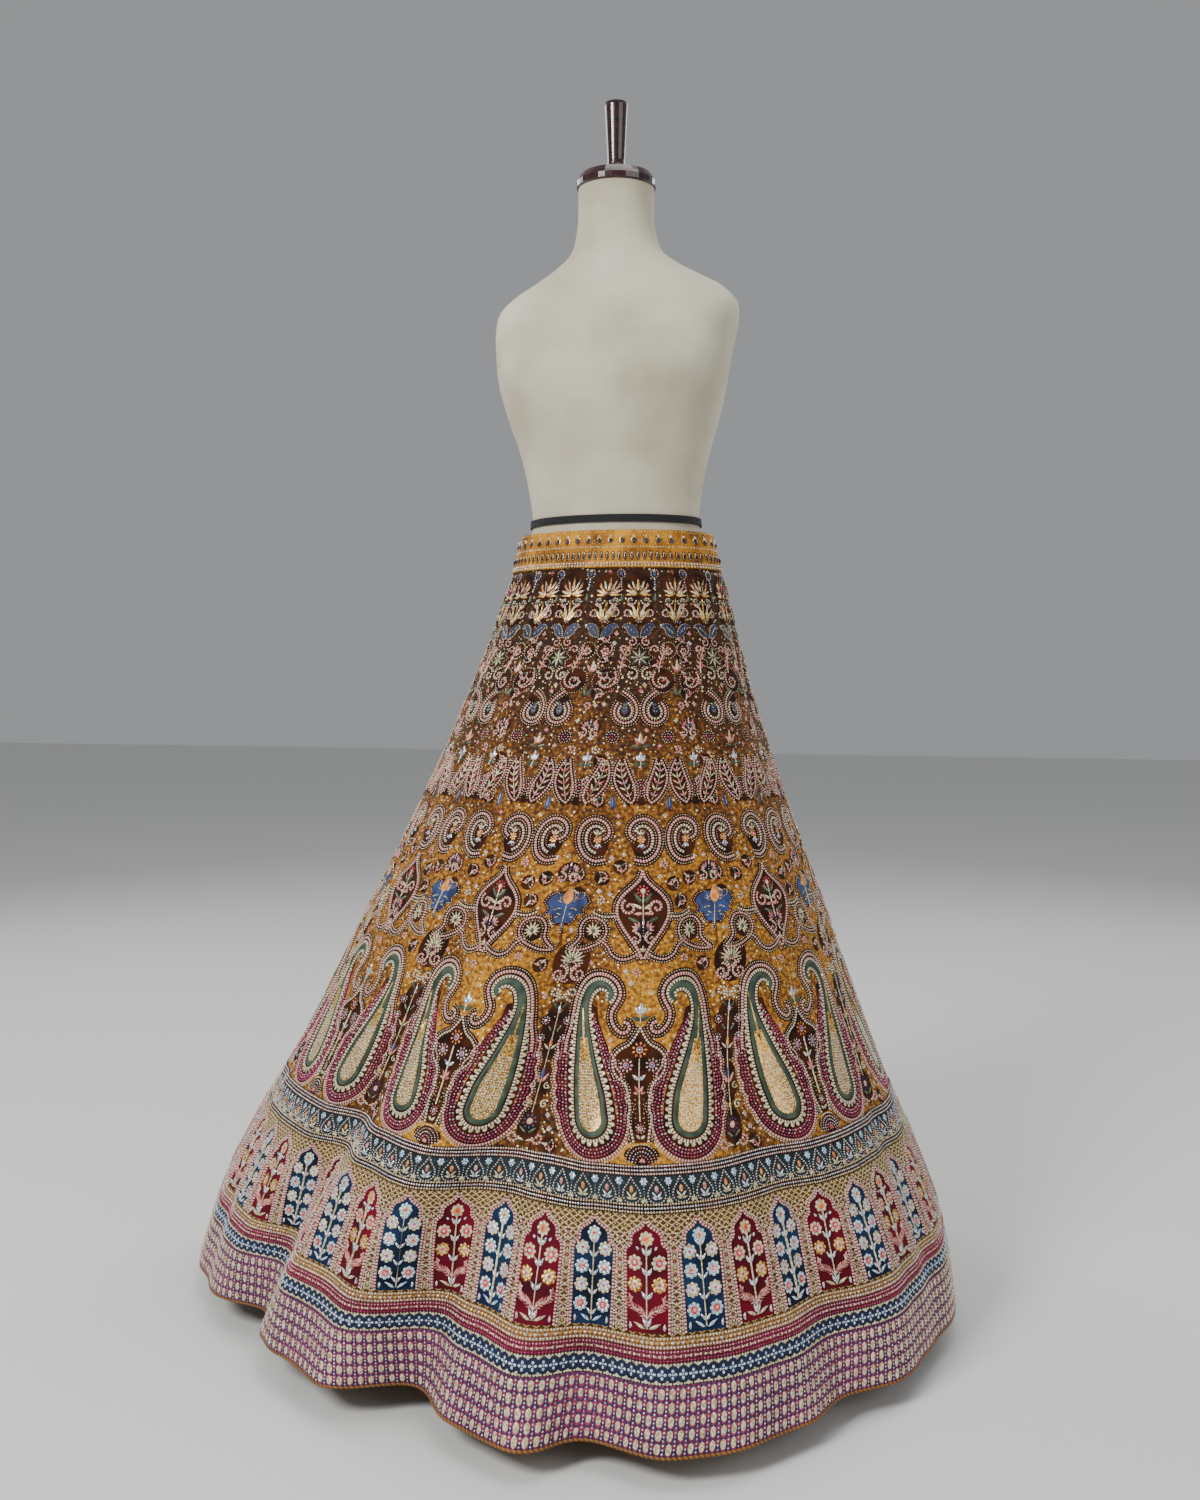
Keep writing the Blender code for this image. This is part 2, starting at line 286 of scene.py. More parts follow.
KALIS = 10
FRONT_SEAM = 10.0
VELVET = 2.0 * MM
TRIM = 1.0 * MM
SEAM = 0.3 * MM
HEM_SHIFT_X, HEM_SHIFT_Y, SHIFT_POWER = -0.058, -0.070, 1.25
Level = namedtuple("Level", "height half_width half_depth")
LEVELS = [Level(*row) for row in (
    (0.030, 0.499, 0.499),
    (0.112, 0.480, 0.480),
    (0.213, 0.438, 0.438),
    (0.348, 0.373, 0.373),
    (0.490, 0.312, 0.310),
    (0.617, 0.256, 0.250),
    (0.761, 0.199, 0.184),
    (0.860, 0.166, 0.143),
    (0.944, 0.142, 0.110),
)]
HEM_HEIGHT, BAND_FOOT = LEVELS[0].height, LEVELS[-1].height
Fold = namedtuple("Fold", "angle half_width depth start lean lift")
FOLDS = [Fold(*row) for row in (
    (-37, 58, -0.086, 0.85, 0, 0.010),
    (-48, 11, -0.034, 0.72, 60, 0.0),
    (-5, 15, -0.086, 0.70, 37, 0.0),
    (8, 9, -0.030, 0.45, 12, 0.0),
    (21, 10, -0.046, 0.50, -10, 0.0),
    (38, 10, 0.012, 0.50, -10, 0.0),
    (58, 9, -0.020, 0.62, -30, 0.0),
    (90, 12, 0.008, 0.50, -12, 0.0),
    (113, 11, -0.060, 0.62, -10, 0.0),
    (137, 12, -0.075, 0.70, -6, 0.0),
    (163, 12, -0.066, 0.55, 0, 0.0),
    (188, 11, -0.074, 0.66, 5, 0.0),
    (212, 13, -0.064, 0.58, 8, 0.0),
    (238, 12, -0.076, 0.70, 12, 0.0),
    (262, 10, -0.052, 0.60, 16, 0.0),
)]
FADE_POWER = 1.2
# Creases: shallow troughs and ridges from a foot to a head, as shares of the height.
Crease = namedtuple("Crease", "angle half_width depth foot head lean")
CREASES = [Crease(*row) for row in (
    (-66, 6, -0.0060, -0.20, 0.30, 14),
    (-33, 5, 0.0050, -0.20, 0.26, 10),
    (-24, 7, -0.0055, -0.10, 0.42, 16),
    (2, 4, 0.0040, -0.15, 0.30, 10),
    (14, 5, -0.0045, 0.10, 0.62, 4),
    (31, 5, 0.0045, -0.20, 0.34, -6),
    (46, 6, -0.0065, 0.16, 0.72, -10),
    (69, 6, 0.0050, -0.20, 0.36, -14),
    (82, 5, -0.0050, -0.10, 0.44, -12),
    (100, 6, 0.0055, -0.20, 0.30, -8),
    (126, 6, 0.0050, -0.10, 0.40, -6),
    (150, 7, -0.0055, 0.05, 0.50, 3),
    (176, 6, 0.0050, -0.20, 0.34, 0),
    (200, 5, -0.0045, 0.10, 0.58, 4),
    (225, 7, 0.0055, -0.20, 0.36, 8),
    (250, 6, -0.0050, -0.10, 0.46, 10),
    (275, 6, 0.0050, -0.20, 0.32, 14),
    (287, 5, -0.0045, 0.12, 0.60, 10),
    (-40, 9, -0.0040, 0.62, 1.02, 0),
    (-14, 7, -0.0045, 0.66, 1.05, 0),
    (18, 8, -0.0040, 0.64, 1.04, 0),
    (52, 8, -0.0045, 0.68, 1.06, 0),
    (88, 9, -0.0045, 0.64, 1.04, 0),
    (124, 8, -0.0040, 0.66, 1.02, 0),
    (158, 8, -0.0050, 0.62, 1.06, 0),
    (194, 8, -0.0045, 0.66, 1.04, 0),
    (232, 9, -0.0040, 0.64, 1.02, 0),
    (268, 8, -0.0045, 0.66, 1.05, 0),
    (298, 8, -0.0040, 0.64, 1.03, 0),
)]
RING_SAMPLES, LEVEL_SAMPLES, HEIGHT_SAMPLES = 1440, 330, 400


def ellipse(turn, half_width, half_depth):
    return 1 / np.hypot(np.sin(turn) / half_width, np.cos(turn) / half_depth)


def swell(turn, middle, half_width):
    """1 at the middle of a fold, falling smoothly to 0 at its sides."""
    off = (np.degrees(turn) - middle + 180) % 360 - 180
    return np.where(abs(off) < half_width, (1 + np.cos(pi * off / half_width)) / 2, 0)


def run_of(path):
    """How far along the path each of its points is."""
    return np.concatenate([[0], np.cumsum(np.linalg.norm(np.diff(path, axis=0), axis=1))])


def read_path(at, run, path):
    """The path's points at the given distances along it."""
    return np.stack([np.interp(at, run, values) for values in path.T], axis=1)


LEVEL_TABLE = np.array(LEVELS)
HEIGHTS = np.linspace(HEM_HEIGHT, BAND_FOOT, HEIGHT_SAMPLES)
HALF_WIDTHS = curve_through(LEVEL_TABLE[:, 0], LEVEL_TABLE[:, 1], HEIGHTS)
HALF_DEPTHS = curve_through(LEVEL_TABLE[:, 0], LEVEL_TABLE[:, 2], HEIGHTS)
STEPS = np.hypot(np.diff(HEIGHTS), np.diff((HALF_WIDTHS + HALF_DEPTHS) / 2))
SLANTS = np.concatenate([[0], np.cumsum(STEPS)])
SLANT = SLANTS[-1]


def skirt_ring(slant):
    """Points round the skirt at a distance up its slope, evenly spaced along the cloth, and their length."""
    height = np.interp(slant, SLANTS, HEIGHTS)
    up = (height - HEM_HEIGHT) / (BAND_FOOT - HEM_HEIGHT)
    turn = radians(FRONT_SEAM) + np.linspace(0, tau, RING_SAMPLES + 1)
    radius = ellipse(turn, np.interp(slant, SLANTS, HALF_WIDTHS), np.interp(slant, SLANTS, HALF_DEPTHS))
    lift = np.zeros_like(turn)
    for fold in FOLDS:
        fade = max(0, 1 - up / fold.start) ** FADE_POWER
        shape = swell(turn, fold.angle + fold.lean * up, fold.half_width) * fade
        radius += fold.depth * shape
        lift += fold.lift * shape
    for crease in CREASES:
        along = (up - crease.foot) / (crease.head - crease.foot)
        if 0 < along < 1:
            shape = swell(turn, crease.angle + crease.lean * up, crease.half_width)
            radius += crease.depth * sin(pi * along) ** 2 * shape
    shift = (1 - up) ** SHIFT_POWER
    x = HEM_SHIFT_X * shift + radius * np.sin(turn)
    y = HEM_SHIFT_Y * shift - radius * np.cos(turn)
    ring = np.stack([x, y, height + lift], axis=1)
    run = run_of(ring)
    return read_path(np.linspace(0, run[-1], RING_SAMPLES + 1), run, ring), run[-1]


LEVEL_SLANTS = np.linspace(0, SLANT, LEVEL_SAMPLES + 1)
RINGS = [skirt_ring(slant) for slant in LEVEL_SLANTS]
SURFACE = np.array([ring for ring, girth in RINGS])
GIRTHS = np.array([girth for ring, girth in RINGS])
ROUND = np.roll(SURFACE[:, :-1], -1, axis=1) - np.roll(SURFACE[:, :-1], 1, axis=1)
ROUND = np.concatenate([ROUND, ROUND[:, :1]], axis=1)
NORMALS = np.cross(ROUND, np.gradient(SURFACE, axis=0))
NORMALS /= np.linalg.norm(NORMALS, axis=2, keepdims=True)


def panel_width(slant):
    """Width of one panel at a distance up its slope."""
    return np.interp(slant, LEVEL_SLANTS, GIRTHS) / KALIS


def half_panel(height):
    """Half of one panel's width at a height up its slope, both in millimetres."""
    return panel_width(height * MM) / MM / 2


def read_table(table, slant, share):
    """The table's value between its four nearest samples."""
    row = np.clip(slant / SLANT, 0, 1) * LEVEL_SAMPLES
    column = (share % 1) * RING_SAMPLES
    i = np.minimum(row.astype(int), LEVEL_SAMPLES - 1)
    j = np.minimum(column.astype(int), RING_SAMPLES - 1)
    a, b = (row - i)[:, None], (column - j)[:, None]
    low = table[i, j] * (1 - b) + table[i, j + 1] * b
    high = table[i + 1, j] * (1 - b) + table[i + 1, j + 1] * b
    return low * (1 - a) + high * a


def lay_on_skirt(flat, place, count=KALIS):
    """Puts flat points on the skirt: x from the middle of one of count equal shares of it, such as a panel,
    s up its slope, and a height off the cloth."""
    x, slant, out = flat.T
    share = (place + 0.5 + x * count / KALIS / panel_width(slant)) / count
    return read_table(SURFACE, slant, share) + read_table(NORMALS, slant, share) * out[:, None]


def thicken(piece, thickness):
    """Turns the outer face of a cloth into a wall, thickened inward."""
    wall = piece.modifiers.new("wall", "SOLIDIFY")
    wall.thickness = thickness
    wall.offset = -1
    return piece


def cloth_grid(low, high, columns, rows, panels, gap, out=0.0):
    """Cloth laid on a run of panels. Its UV maps are its cut in metres, and its turn in panels."""
    mesh = bmesh.new()
    uv = mesh.loops.layers.uv.new("cut")
    ring = mesh.loops.layers.uv.new("ring")
    for kali in panels:
        made = bmesh.ops.create_grid(mesh, x_segments=columns, y_segments=rows, size=0.5)["verts"]
        unit = np.array([vert.co for vert in made]) + (0.5, 0.5, 0)
        slant = low + unit[:, 1] * (high - low)
        x = (unit[:, 0] - 0.5) * (panel_width(slant) - gap)
        placed = lay_on_skirt(np.stack([x, slant, np.full(len(x), out)], axis=1), kali)
        flat = {}
        for vert, point, across, up, share in zip(made, placed, x, slant, unit[:, 0]):
            vert.co = point
            flat[vert] = (across, up), (kali + share, up)
        for face in {face for vert in made for face in vert.link_faces}:
            for loop in face.loops:
                loop[uv].uv, loop[ring].uv = flat[loop.vert]
    if len(panels) > 1:
        bmesh.ops.remove_doubles(mesh, verts=mesh.verts, dist=WELD)
    return mesh


RADII = np.hypot(SURFACE[..., 0] - SURFACE[:, :-1, 0].mean(axis=1)[:, None],
                 SURFACE[..., 1] - SURFACE[:, :-1, 1].mean(axis=1)[:, None])
SPREAD, RIDGE = 90, 0.016
WINDOW = np.concatenate([RADII[:, -SPREAD - 1:-1], RADII[:, :-1], RADII[:, :SPREAD]], axis=1).cumsum(axis=1)
BEFORE = np.pad(WINDOW, ((0, 0), (1, 0)))[:, :-2 * SPREAD - 1]
LOCAL_MEAN = (WINDOW[:, 2 * SPREAD:] - BEFORE) / (2 * SPREAD + 1)
RELIEF = np.clip((RADII[:, :-1] - LOCAL_MEAN) / RIDGE, -1, 1)
RELIEF = np.concatenate([RELIEF, RELIEF[:, :1]], axis=1)[..., None]


def mark_relief(piece, kali):
    """Stores where the cloth stands out in a ridge, 1, or sinks in a valley, 0. The velvet's colour reads it
    as painted highlight on the ridges and painted shade in the valleys.
    """
    layer = piece.data.attributes.new("relief", "FLOAT", "POINT")
    points = np.array([vert.co for vert in piece.data.vertices])
    uv = np.zeros((len(points), 2))
    for loop, flat in zip(piece.data.loops, piece.data.uv_layers["cut"].data):
        uv[loop.vertex_index] = flat.uv
    share = (kali + 0.5 + uv[:, 0] / panel_width(uv[:, 1])) / KALIS
    layer.data.foreach_set("value", (read_table(RELIEF, uv[:, 1], share)[:, 0] + 1) / 2)


OCHRE_SHEEN = dict(Sheen_Roughness=0.35, Sheen_Tint=(1.0, 0.62, 0.20, 1), Specular_IOR_Level=0.3)
velvet = Finish("ochre_velvet", (0.4, 0.17, 0.015), 0.75, Sheen_Weight=0.05, **OCHRE_SHEEN)
cut = velvet.place(layer="cut")
# Darker and lighter patches of crushed pile, partly painted sheen where light would catch the nap.
nap_and_painted_sheen = velvet.noise(7, velvet.place(2.4, 1, layer="cut"), 3.0)
# Painted highlight and shade: the relief lightens the pile on the fold ridges and darkens it in the valleys.
ridge = velvet.node("ShaderNodeAttribute", {"attribute_name": "relief"}, output="Fac")
waist = velvet.axis(cut, "Y")
waist = velvet.node("ShaderNodeMapRange", {}, waist, 0.60, 0.92, 0.0, 0.42)
mottle = velvet.noise(210, cut, 2.0)
# The pile's tone: nap patches, partly painted sheen; the relief, painted highlight and shade; a fine mottle;
# and darker towards the waist.
pile_tone_and_painted_light = nap_and_painted_sheen * 0.5 + ridge * 0.38 + mottle * 1.15 - waist - 0.52
pile = velvet.ramp(pile_tone_and_painted_light, (0.12, (0.022, 0.006, 0.001)), (0.36, (0.12, 0.038, 0.004)),
                   (0.56, (0.34, 0.135, 0.010)), (0.80, (0.66, 0.31, 0.022)))
fleck = velvet.dots(165, cut, scatter=0.75)
fleck_tone = velvet.node("ShaderNodeSeparateColor", {}, velvet.dots(165, cut, "Color", 0.75), output="Red")
gold = velvet.ramp(fleck_tone, (0.0, (0.56, 0.22, 0.02)), (0.30, (0.74, 0.46, 0.12)),
                   (0.60, (0.86, 0.74, 0.42)), (1.0, (0.95, 0.90, 0.72)))
bead = fleck < 0.24
velvet.set("Base Color", velvet.mix(bead * 0.9, pile, gold))
velvet.set("Roughness", 0.80 - bead * 0.45)
velvet.set("Metallic", bead * 0.30)
velvet.bump((0.4 - fleck) * bead, 0.0016, 0.9)

KALI_COLUMNS, KALI_ROWS = 40, 92
PIPING = 3.0 * MM
for kali in range(KALIS):
    mesh = cloth_grid(PIPING + SEAM, SLANT - SEAM, KALI_COLUMNS, KALI_ROWS, [kali], SEAM)
    name = f"kali_{kali + 1:02d}"
    panel = make_object(f"{name}_velvet", mesh, velvet)
    mark_relief(panel, kali)
    thicken(panel, VELVET)
    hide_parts(name)

# ---- Waistband: a straight strip of the same velvet, interfaced so that it stays flat, whose end laps over
# its start at the centre back. It is plain here, and its beadwork is sewn on further down.

BAND_TOP = 0.993
BAND_CLOTH = 3.0 * MM
BAND_RIMS = ((BAND_FOOT, 0.1435, 0.1115), (BAND_TOP, 0.131, 0.098))
BAND_LAP = 14.0
BAND_MIDDLE = (BAND_FOOT + BAND_TOP) / 2


def lay_on_band(flat):
    """Puts flat points on the waistband: a turn in degrees from the front, a height, a way off the cloth."""
    turn, height, out = np.radians(flat[:, 0]), flat[:, 1], flat[:, 2]
    share = (height - BAND_FOOT) / (BAND_TOP - BAND_FOOT)
    low, high = (ellipse(turn, half_width, half_depth) for _, half_width, half_depth in BAND_RIMS)
    lap = (BAND_CLOTH + SEAM) * np.clip((turn - radians(540 - 2 * BAND_LAP)) / radians(BAND_LAP), 0, 1)
    radius = low + (high - low) * share + lap + out
    return np.stack([radius * np.sin(turn), -radius * np.cos(turn), height], axis=1)


def length_on_band(turns, heights):
    """The length of the line on the waistband through these turns and heights: the cut, with its lap."""
    line = lay_on_band(np.stack(np.broadcast_arrays(turns, heights, 0.0), axis=1))
    return float(np.linalg.norm(np.diff(line, axis=0), axis=1).sum())


mesh = bmesh.new()
bmesh.ops.create_grid(mesh, x_segments=150, y_segments=6, size=0.5)
uv = mesh.loops.layers.uv.new("cut")
BAND_START, BAND_SWEEP = 180 - BAND_LAP / 2, 360 + BAND_LAP
unit = np.array([vert.co for vert in mesh.verts]) + (0.5, 0.5, 0)
flat = np.stack([BAND_START + unit[:, 0] * BAND_SWEEP, BAND_FOOT + unit[:, 1] * (BAND_TOP - BAND_FOOT),
                 0 * unit[:, 0]], axis=1)
BAND_GIRTH = 0.76
for vert, point, place in zip(mesh.verts, lay_on_band(flat), unit):
    vert.co = point
    for loop in vert.link_loops:
        loop[uv].uv = (place[0] * BAND_GIRTH, place[1] * (BAND_TOP - BAND_FOOT))
band_velvet = Finish("waistband_velvet", (0.5, 0.22, 0.02), 0.75, Sheen_Weight=0.06, **OCHRE_SHEEN)
cut = band_velvet.place(layer="cut")
# The pile's darker and lighter patches are partly painted sheen, as on the panels.
nap_and_painted_sheen = band_velvet.noise(30, cut, 3.0)
fleck = band_velvet.dots(330, cut)
pile = band_velvet.ramp(nap_and_painted_sheen, (0.3, (0.10, 0.032, 0.002)), (0.5, (0.40, 0.155, 0.008)),
                        (0.7, (0.66, 0.30, 0.016)))
band_velvet.set("Base Color", band_velvet.mix((fleck < 0.22) * 0.7, pile, (0.80, 0.52, 0.14)))
band_velvet.bump(0.4 - fleck, 0.0008, 0.6)
band = thicken(make_object("waistband_velvet", mesh, band_velvet), BAND_CLOTH)
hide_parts("waistband")
length_on_band(np.linspace(BAND_START, BAND_START + BAND_SWEEP, 200), BAND_MIDDLE)
length_on_band(360.0, np.array([BAND_FOOT, BAND_TOP]))

# ---- Needlework on the panels: beads, sequins and couched cords, stitched through the velvet before they
# are joined. Each panel has the same drawing, laid flat about its middle and then carried onto the skirt.


def needle_finish(name, colour, roughness, metallic, other, scale=420.0, **constants):
    """Beads or thread whose colour shifts from one to the next."""
    made = Finish(name, colour, roughness, metallic, **constants)
    shift = made.noise(scale, made.place(), 0.0)
    made.set("Base Color", made.ramp(shift, (0.36, colour), (0.64, other)))
    made.set("Roughness", shift * 0.3 + (roughness - 0.15))
    return made


def striped_finish(name, colour, other, pitch):
    """A couched cord: bands of two threads, wound across the cord."""
    made = Finish(name, colour, 0.5, 0.1, Sheen_Weight=0.2)
    run = made.axis(made.place(layer="thread"), "X")
    wave = made.sine(run * (tau / pitch))
    made.set("Base Color", made.ramp(wave, (0.30, colour), (0.60, other)))
    made.bump(wave, 0.0006)
    return made


CREAM = needle_finish("cream_beads", (0.42, 0.33, 0.16), 0.34, 0.15, (0.84, 0.76, 0.52))
SILVER = needle_finish("silver_stones", (0.36, 0.38, 0.42), 0.22, 0.55, (0.92, 0.92, 0.94), 520.0)
PEARL = needle_finish("pearl_beads", (0.48, 0.30, 0.26), 0.30, 0.10, (0.90, 0.80, 0.74))
GOLD = needle_finish("gold_sequins", (0.42, 0.17, 0.02), 0.30, 0.55, (0.90, 0.60, 0.18))
MAGENTA = needle_finish("magenta_beads", (0.20, 0.005, 0.045), 0.32, 0.05, (0.58, 0.05, 0.19))
ROSE = needle_finish("rose_beads", (0.48, 0.09, 0.16), 0.30, 0.05, (0.86, 0.50, 0.54))
GREEN = needle_finish("green_silk", (0.014, 0.036, 0.020), 0.60, 0.0, (0.045, 0.080, 0.046), 90.0)
BLUE = needle_finish("blue_silk", (0.008, 0.020, 0.085), 0.55, 0.0, (0.022, 0.055, 0.19), 90.0)
NAVY = needle_finish("navy_silk", (0.004, 0.007, 0.030), 0.55, 0.0, (0.014, 0.022, 0.085), 90.0)
PINK = needle_finish("pink_silk", (0.46, 0.11, 0.10), 0.55, 0.0, (0.80, 0.36, 0.30), 200.0)
CORAL = needle_finish("coral_silk", (0.50, 0.012, 0.035), 0.5, 0.0, (0.80, 0.06, 0.10), 200.0)
ORANGE = needle_finish("orange_silk", (0.58, 0.15, 0.025), 0.5, 0.0, (0.86, 0.36, 0.08), 200.0)
ICE = needle_finish("pale_blue_beads", (0.26, 0.42, 0.66), 0.3, 0.15, (0.82, 0.88, 0.94), 500.0)
# Dark brown velvet: the ground under motifs and the lines beside cords, partly painted shadow round the
# motifs.
BROWN_GROUND_AND_SHADOW = needle_finish("brown_velvet_and_painted_shadow", (0.016, 0.0035, 0.0012), 0.9, 0.0, (0.055, 0.014, 0.004), 60.0,
                      Specular_IOR_Level=0.2)
PINK_CORD = striped_finish("pink_couched_cord", (0.22, 0.030, 0.035), (0.86, 0.52, 0.43), 3.4 * MM)
CREAM_CORD = striped_finish("cream_couched_cord", (0.12, 0.050, 0.012), (0.88, 0.79, 0.56), 3.6 * MM)


PATH_SAMPLES = 400


def trace(points, pitch=3.0, closed=False):
    """A smooth path through the points, in millimetres, with a point about every pitch."""
    points = np.array(points, float)
    if closed:
        points = np.concatenate([points[-3:], points, points[:3]])
    chord = run_of(points)
    start, end = (chord[3], chord[-3]) if closed else (0, chord[-1])
    fine = np.linspace(start, end, PATH_SAMPLES)
    path = np.stack([curve_through(chord, points[:, axis], fine) for axis in (0, 1)], axis=1)
    return even(path, pitch, closed)


def even(path, pitch, closed=False):
    """The path with evenly spaced points."""
    if closed:
        path = np.concatenate([path, path[:1]])
    run = run_of(path)
    count = max(2, int(round(run[-1] / pitch)) + 1)
    made = read_path(np.linspace(0, run[-1], count), run, path)
    return made[:-1] if closed else made


def beside(path, distance, closed=False):
    """The path moved to its left."""
    ahead = np.roll(path, -1, axis=0) - np.roll(path, 1, axis=0) if closed else np.gradient(path, axis=0)
    left = np.stack([-ahead[:, 1], ahead[:, 0]], axis=1)
    return path + left / np.linalg.norm(left, axis=1, keepdims=True) * np.reshape(distance, (-1, 1))


def mirrored(path):
    return np.asarray(path) * (-1, 1)


def at_side(points, side, x=0, s=0):
    """Points drawn for the right side, brought to one side of x and up by s."""
    return np.array(points, float) * (side, 1) + (x, s)


def upright(x, low, high, pitch=3):
    """A straight path up the slope."""
    return trace([(x, low), (x, high)], pitch)


def arc(x, s, width, height, start, end, pitch=2.5):
    """Part of an ellipse, between angles in degrees from +x."""
    turn = np.radians(np.linspace(start, end, 60))
    return even(np.stack([x + width * np.cos(turn), s + height * np.sin(turn)], axis=1), pitch)


STITCH_WELD = 0.02


class Needlework:
    """A flat drawing in millimetres: x across, s up the slope from the hem, and height off the cloth."""

    def __init__(self):
        self.mesh = bmesh.new()
        self.thread = self.mesh.loops.layers.uv.new("thread")
        self.finishes = []
        self.level = 0.0

    def slot(self, finish):
        if finish not in self.finishes:
            self.finishes.append(finish)
        return self.finishes.index(finish)

    def ribbon(self, finish, paths, heights, closed=False):
        """A strip between paths that run side by side, each at its own height."""
        slot = self.slot(finish)
        rows = [[self.mesh.verts.new((x, s, z + self.level)) for x, s in path]
                for path, z in zip(paths, heights)]
        step = np.linalg.norm(np.diff(paths[len(paths) // 2], axis=0), axis=1)
        run = np.concatenate([[0], np.cumsum(step)])
        run = np.append(run, run[-1] + (step[-1] if len(step) else 0))
        count = len(rows[0])
        for a, b in zip(rows, rows[1:]):
            for i in range(count if closed else count - 1):
                j = (i + 1) % count
                face = self.mesh.faces.new((a[i], b[i], b[j], a[j]))
                face.material_index = slot
                for loop, k in zip(face.loops, (i, i, i + 1, i + 1)):
                    loop[self.thread].uv = (run[k] * MM, 0)

    def fill(self, finish, left, right, height=0.45, strips=8):
        """A patch of cloth between two paths, in enough strips to follow the folds under it."""
        shares = np.linspace(0, 1, strips + 1)
        self.ribbon(finish, [left + (right - left) * share for share in shares], [height] * len(shares))

    def ground(self, x, s, width, length):
        """An oval patch of dark brown velvet under a motif, partly painted shadow round it."""
        half = arc(0, 0, width / 2, length / 2, 88, -88, 3.5)
        self.fill(BROWN_GROUND_AND_SHADOW, half * (-1, 1) + (x, s), half + (x, s), strips=max(2, int(width / 6)))

    def cord(self, finish, path, width=3.0, height=1.3, closed=False):
        """A raised cord along a path."""
        sides = [beside(path, side * width / 2, closed) for side in (-1, 0, 1)]
        self.ribbon(finish, sides, (-0.2, height, -0.2), closed)

    def rope(self, finish, path, width=4.0, bead=None, closed=False, clear=5.4):
        """A cord on a dark line, partly painted shadow along it, with a line of small beads at each side."""
        strip = [beside(path, side * clear, closed) for side in (-1, 0, 1)]
        self.ribbon(BROWN_GROUND_AND_SHADOW, strip, (0.2, 0.7, 0.2), closed)
        self.cord(finish, path, width, 2.0, closed)
        if bead:
            for side in (-1, 1):
                self.beads(bead, beside(path, side * (width / 2 + 1.9), closed), 3.2, 2.4, 1.9, closed)

    def patch(self, finish, left, right, height, edge, count):
        """Silk between two sides given by a few points each, with or without a line of beads round it."""
        fine = [trace(side, 1.0) for side in (left, right)]
        sides = [read_path(np.linspace(0, 1, count), np.linspace(0, 1, len(side)), side) for side in fine]
        self.fill(finish, *sides, height, 2)
        if edge:
            for side in sides:
                self.beads(edge, side, 2.7, 2.0, height + 1.0)

    def disc(self, finish, x, s, width, height, length=None, turn=0.0, sides=None, base=-0.2):
        """A bead, sequin, petal or stone: a low cone with a round or long foot."""
        sides = sides or (4 if width < 2.8 else 5 if width < 4.5 else 6)
        place = Matrix.Translation((x, s, base + self.level)) @ Matrix.Rotation(radians(turn), 4, "Z")
        place = place @ Matrix.Diagonal((width / 2, (length or width) / 2, 1, 1))
        made = bmesh.ops.create_circle(self.mesh, cap_ends=True, cap_tris=True, segments=sides, radius=1,
                                       matrix=place)["verts"]
        peak = max(made, key=lambda vert: len(vert.link_faces))
        peak.co.z += height
        slot = self.slot(finish)
        for face in peak.link_faces:
            face.material_index = slot

    def beads(self, finish, path, pitch=3.0, width=2.4, height=1.5, closed=False, second=None):
        """A row of beads, of one finish or of two in turn."""
        for number, (x, s) in enumerate(even(path, pitch, closed)):
            self.disc(second if second and number % 2 else finish, x, s, width, height)

    def dashes(self, finish, path, pitch, width, length, height):
        """A row of long beads that follow the path."""
        path = even(path, pitch)
        ahead = np.gradient(path, axis=0)
        for (x, s), (dx, ds) in zip(path, ahead):
            self.disc(finish, x, s, width, height, length, degrees(atan2(ds, dx)) - 90)

    def leaf(self, finish, x, s, length, width, heading, height=1.4, vein=None):
        """A pointed leaf from its foot, in the heading given in degrees from +x."""
        reach = np.linspace(0, 1, 5 if length > 9 else 4)[:, None]
        ahead = np.array([[cos(radians(heading)), sin(radians(heading))]])
        middle = np.array([[x, s]]) + ahead * reach * length
        half = ahead[:, ::-1] * (-1, 1) * np.sin(pi * reach ** 0.8) * width / 2
        self.ribbon(finish, (middle - half, middle, middle + half), (-0.2, height, -0.2))
        if vein:
            self.cord(vein, middle[1:-1], 0.9, height + 0.5)

    def leaves(self, x, side, *rows):
        """Leaves at one side of a stem at x, each with its finish, its foot's place, its size and lean."""
        for finish, apart, s, length, width, lean, *more in rows:
            self.leaf(finish, x + side * apart, s, length, width, 90 - side * lean, *more)

    def blossom(self, x, s, rings, petals=0, petal_finish=None):
        """A round flower: rings from the widest to the smallest, and petals round them."""
        width = rings[0][0]
        for number in range(petals):
            turn = tau * number / petals
            self.disc(petal_finish, x + width * 0.46 * cos(turn), s + width * 0.46 * sin(turn),
                      width * 3.0 / petals, 1.3, width * 0.52, degrees(turn) + 90, 4)
        for lift, (width, finish) in enumerate(rings):
            self.disc(finish, x, s, width, 1.0, sides=8 if width > 6 else 5, base=lift * 0.45 - 0.2)

    def curl(self, finish, x, s, width, start, turns, hand, cord):
        """A volute that winds in from its outside, starting at an angle in degrees."""
        turn = radians(start) + hand * np.linspace(0, tau * turns, 40)
        reach = width / 2 * np.linspace(1, 0.18, 40)
        path = np.stack([x + reach * np.cos(turn), s + reach * np.sin(turn)], axis=1)
        self.cord(finish, even(path, max(2.0, width / 5)), cord)

    def fan(self, finish, x, s, length, width, middle, spread, count):
        """Leaves that spread from one foot."""
        for number in range(count):
            lean = number / (count - 1) - 0.5
            size = length * (1 - 0.25 * abs(lean) * 2)
            self.leaf(finish, x, s, size, width, middle + lean * spread)

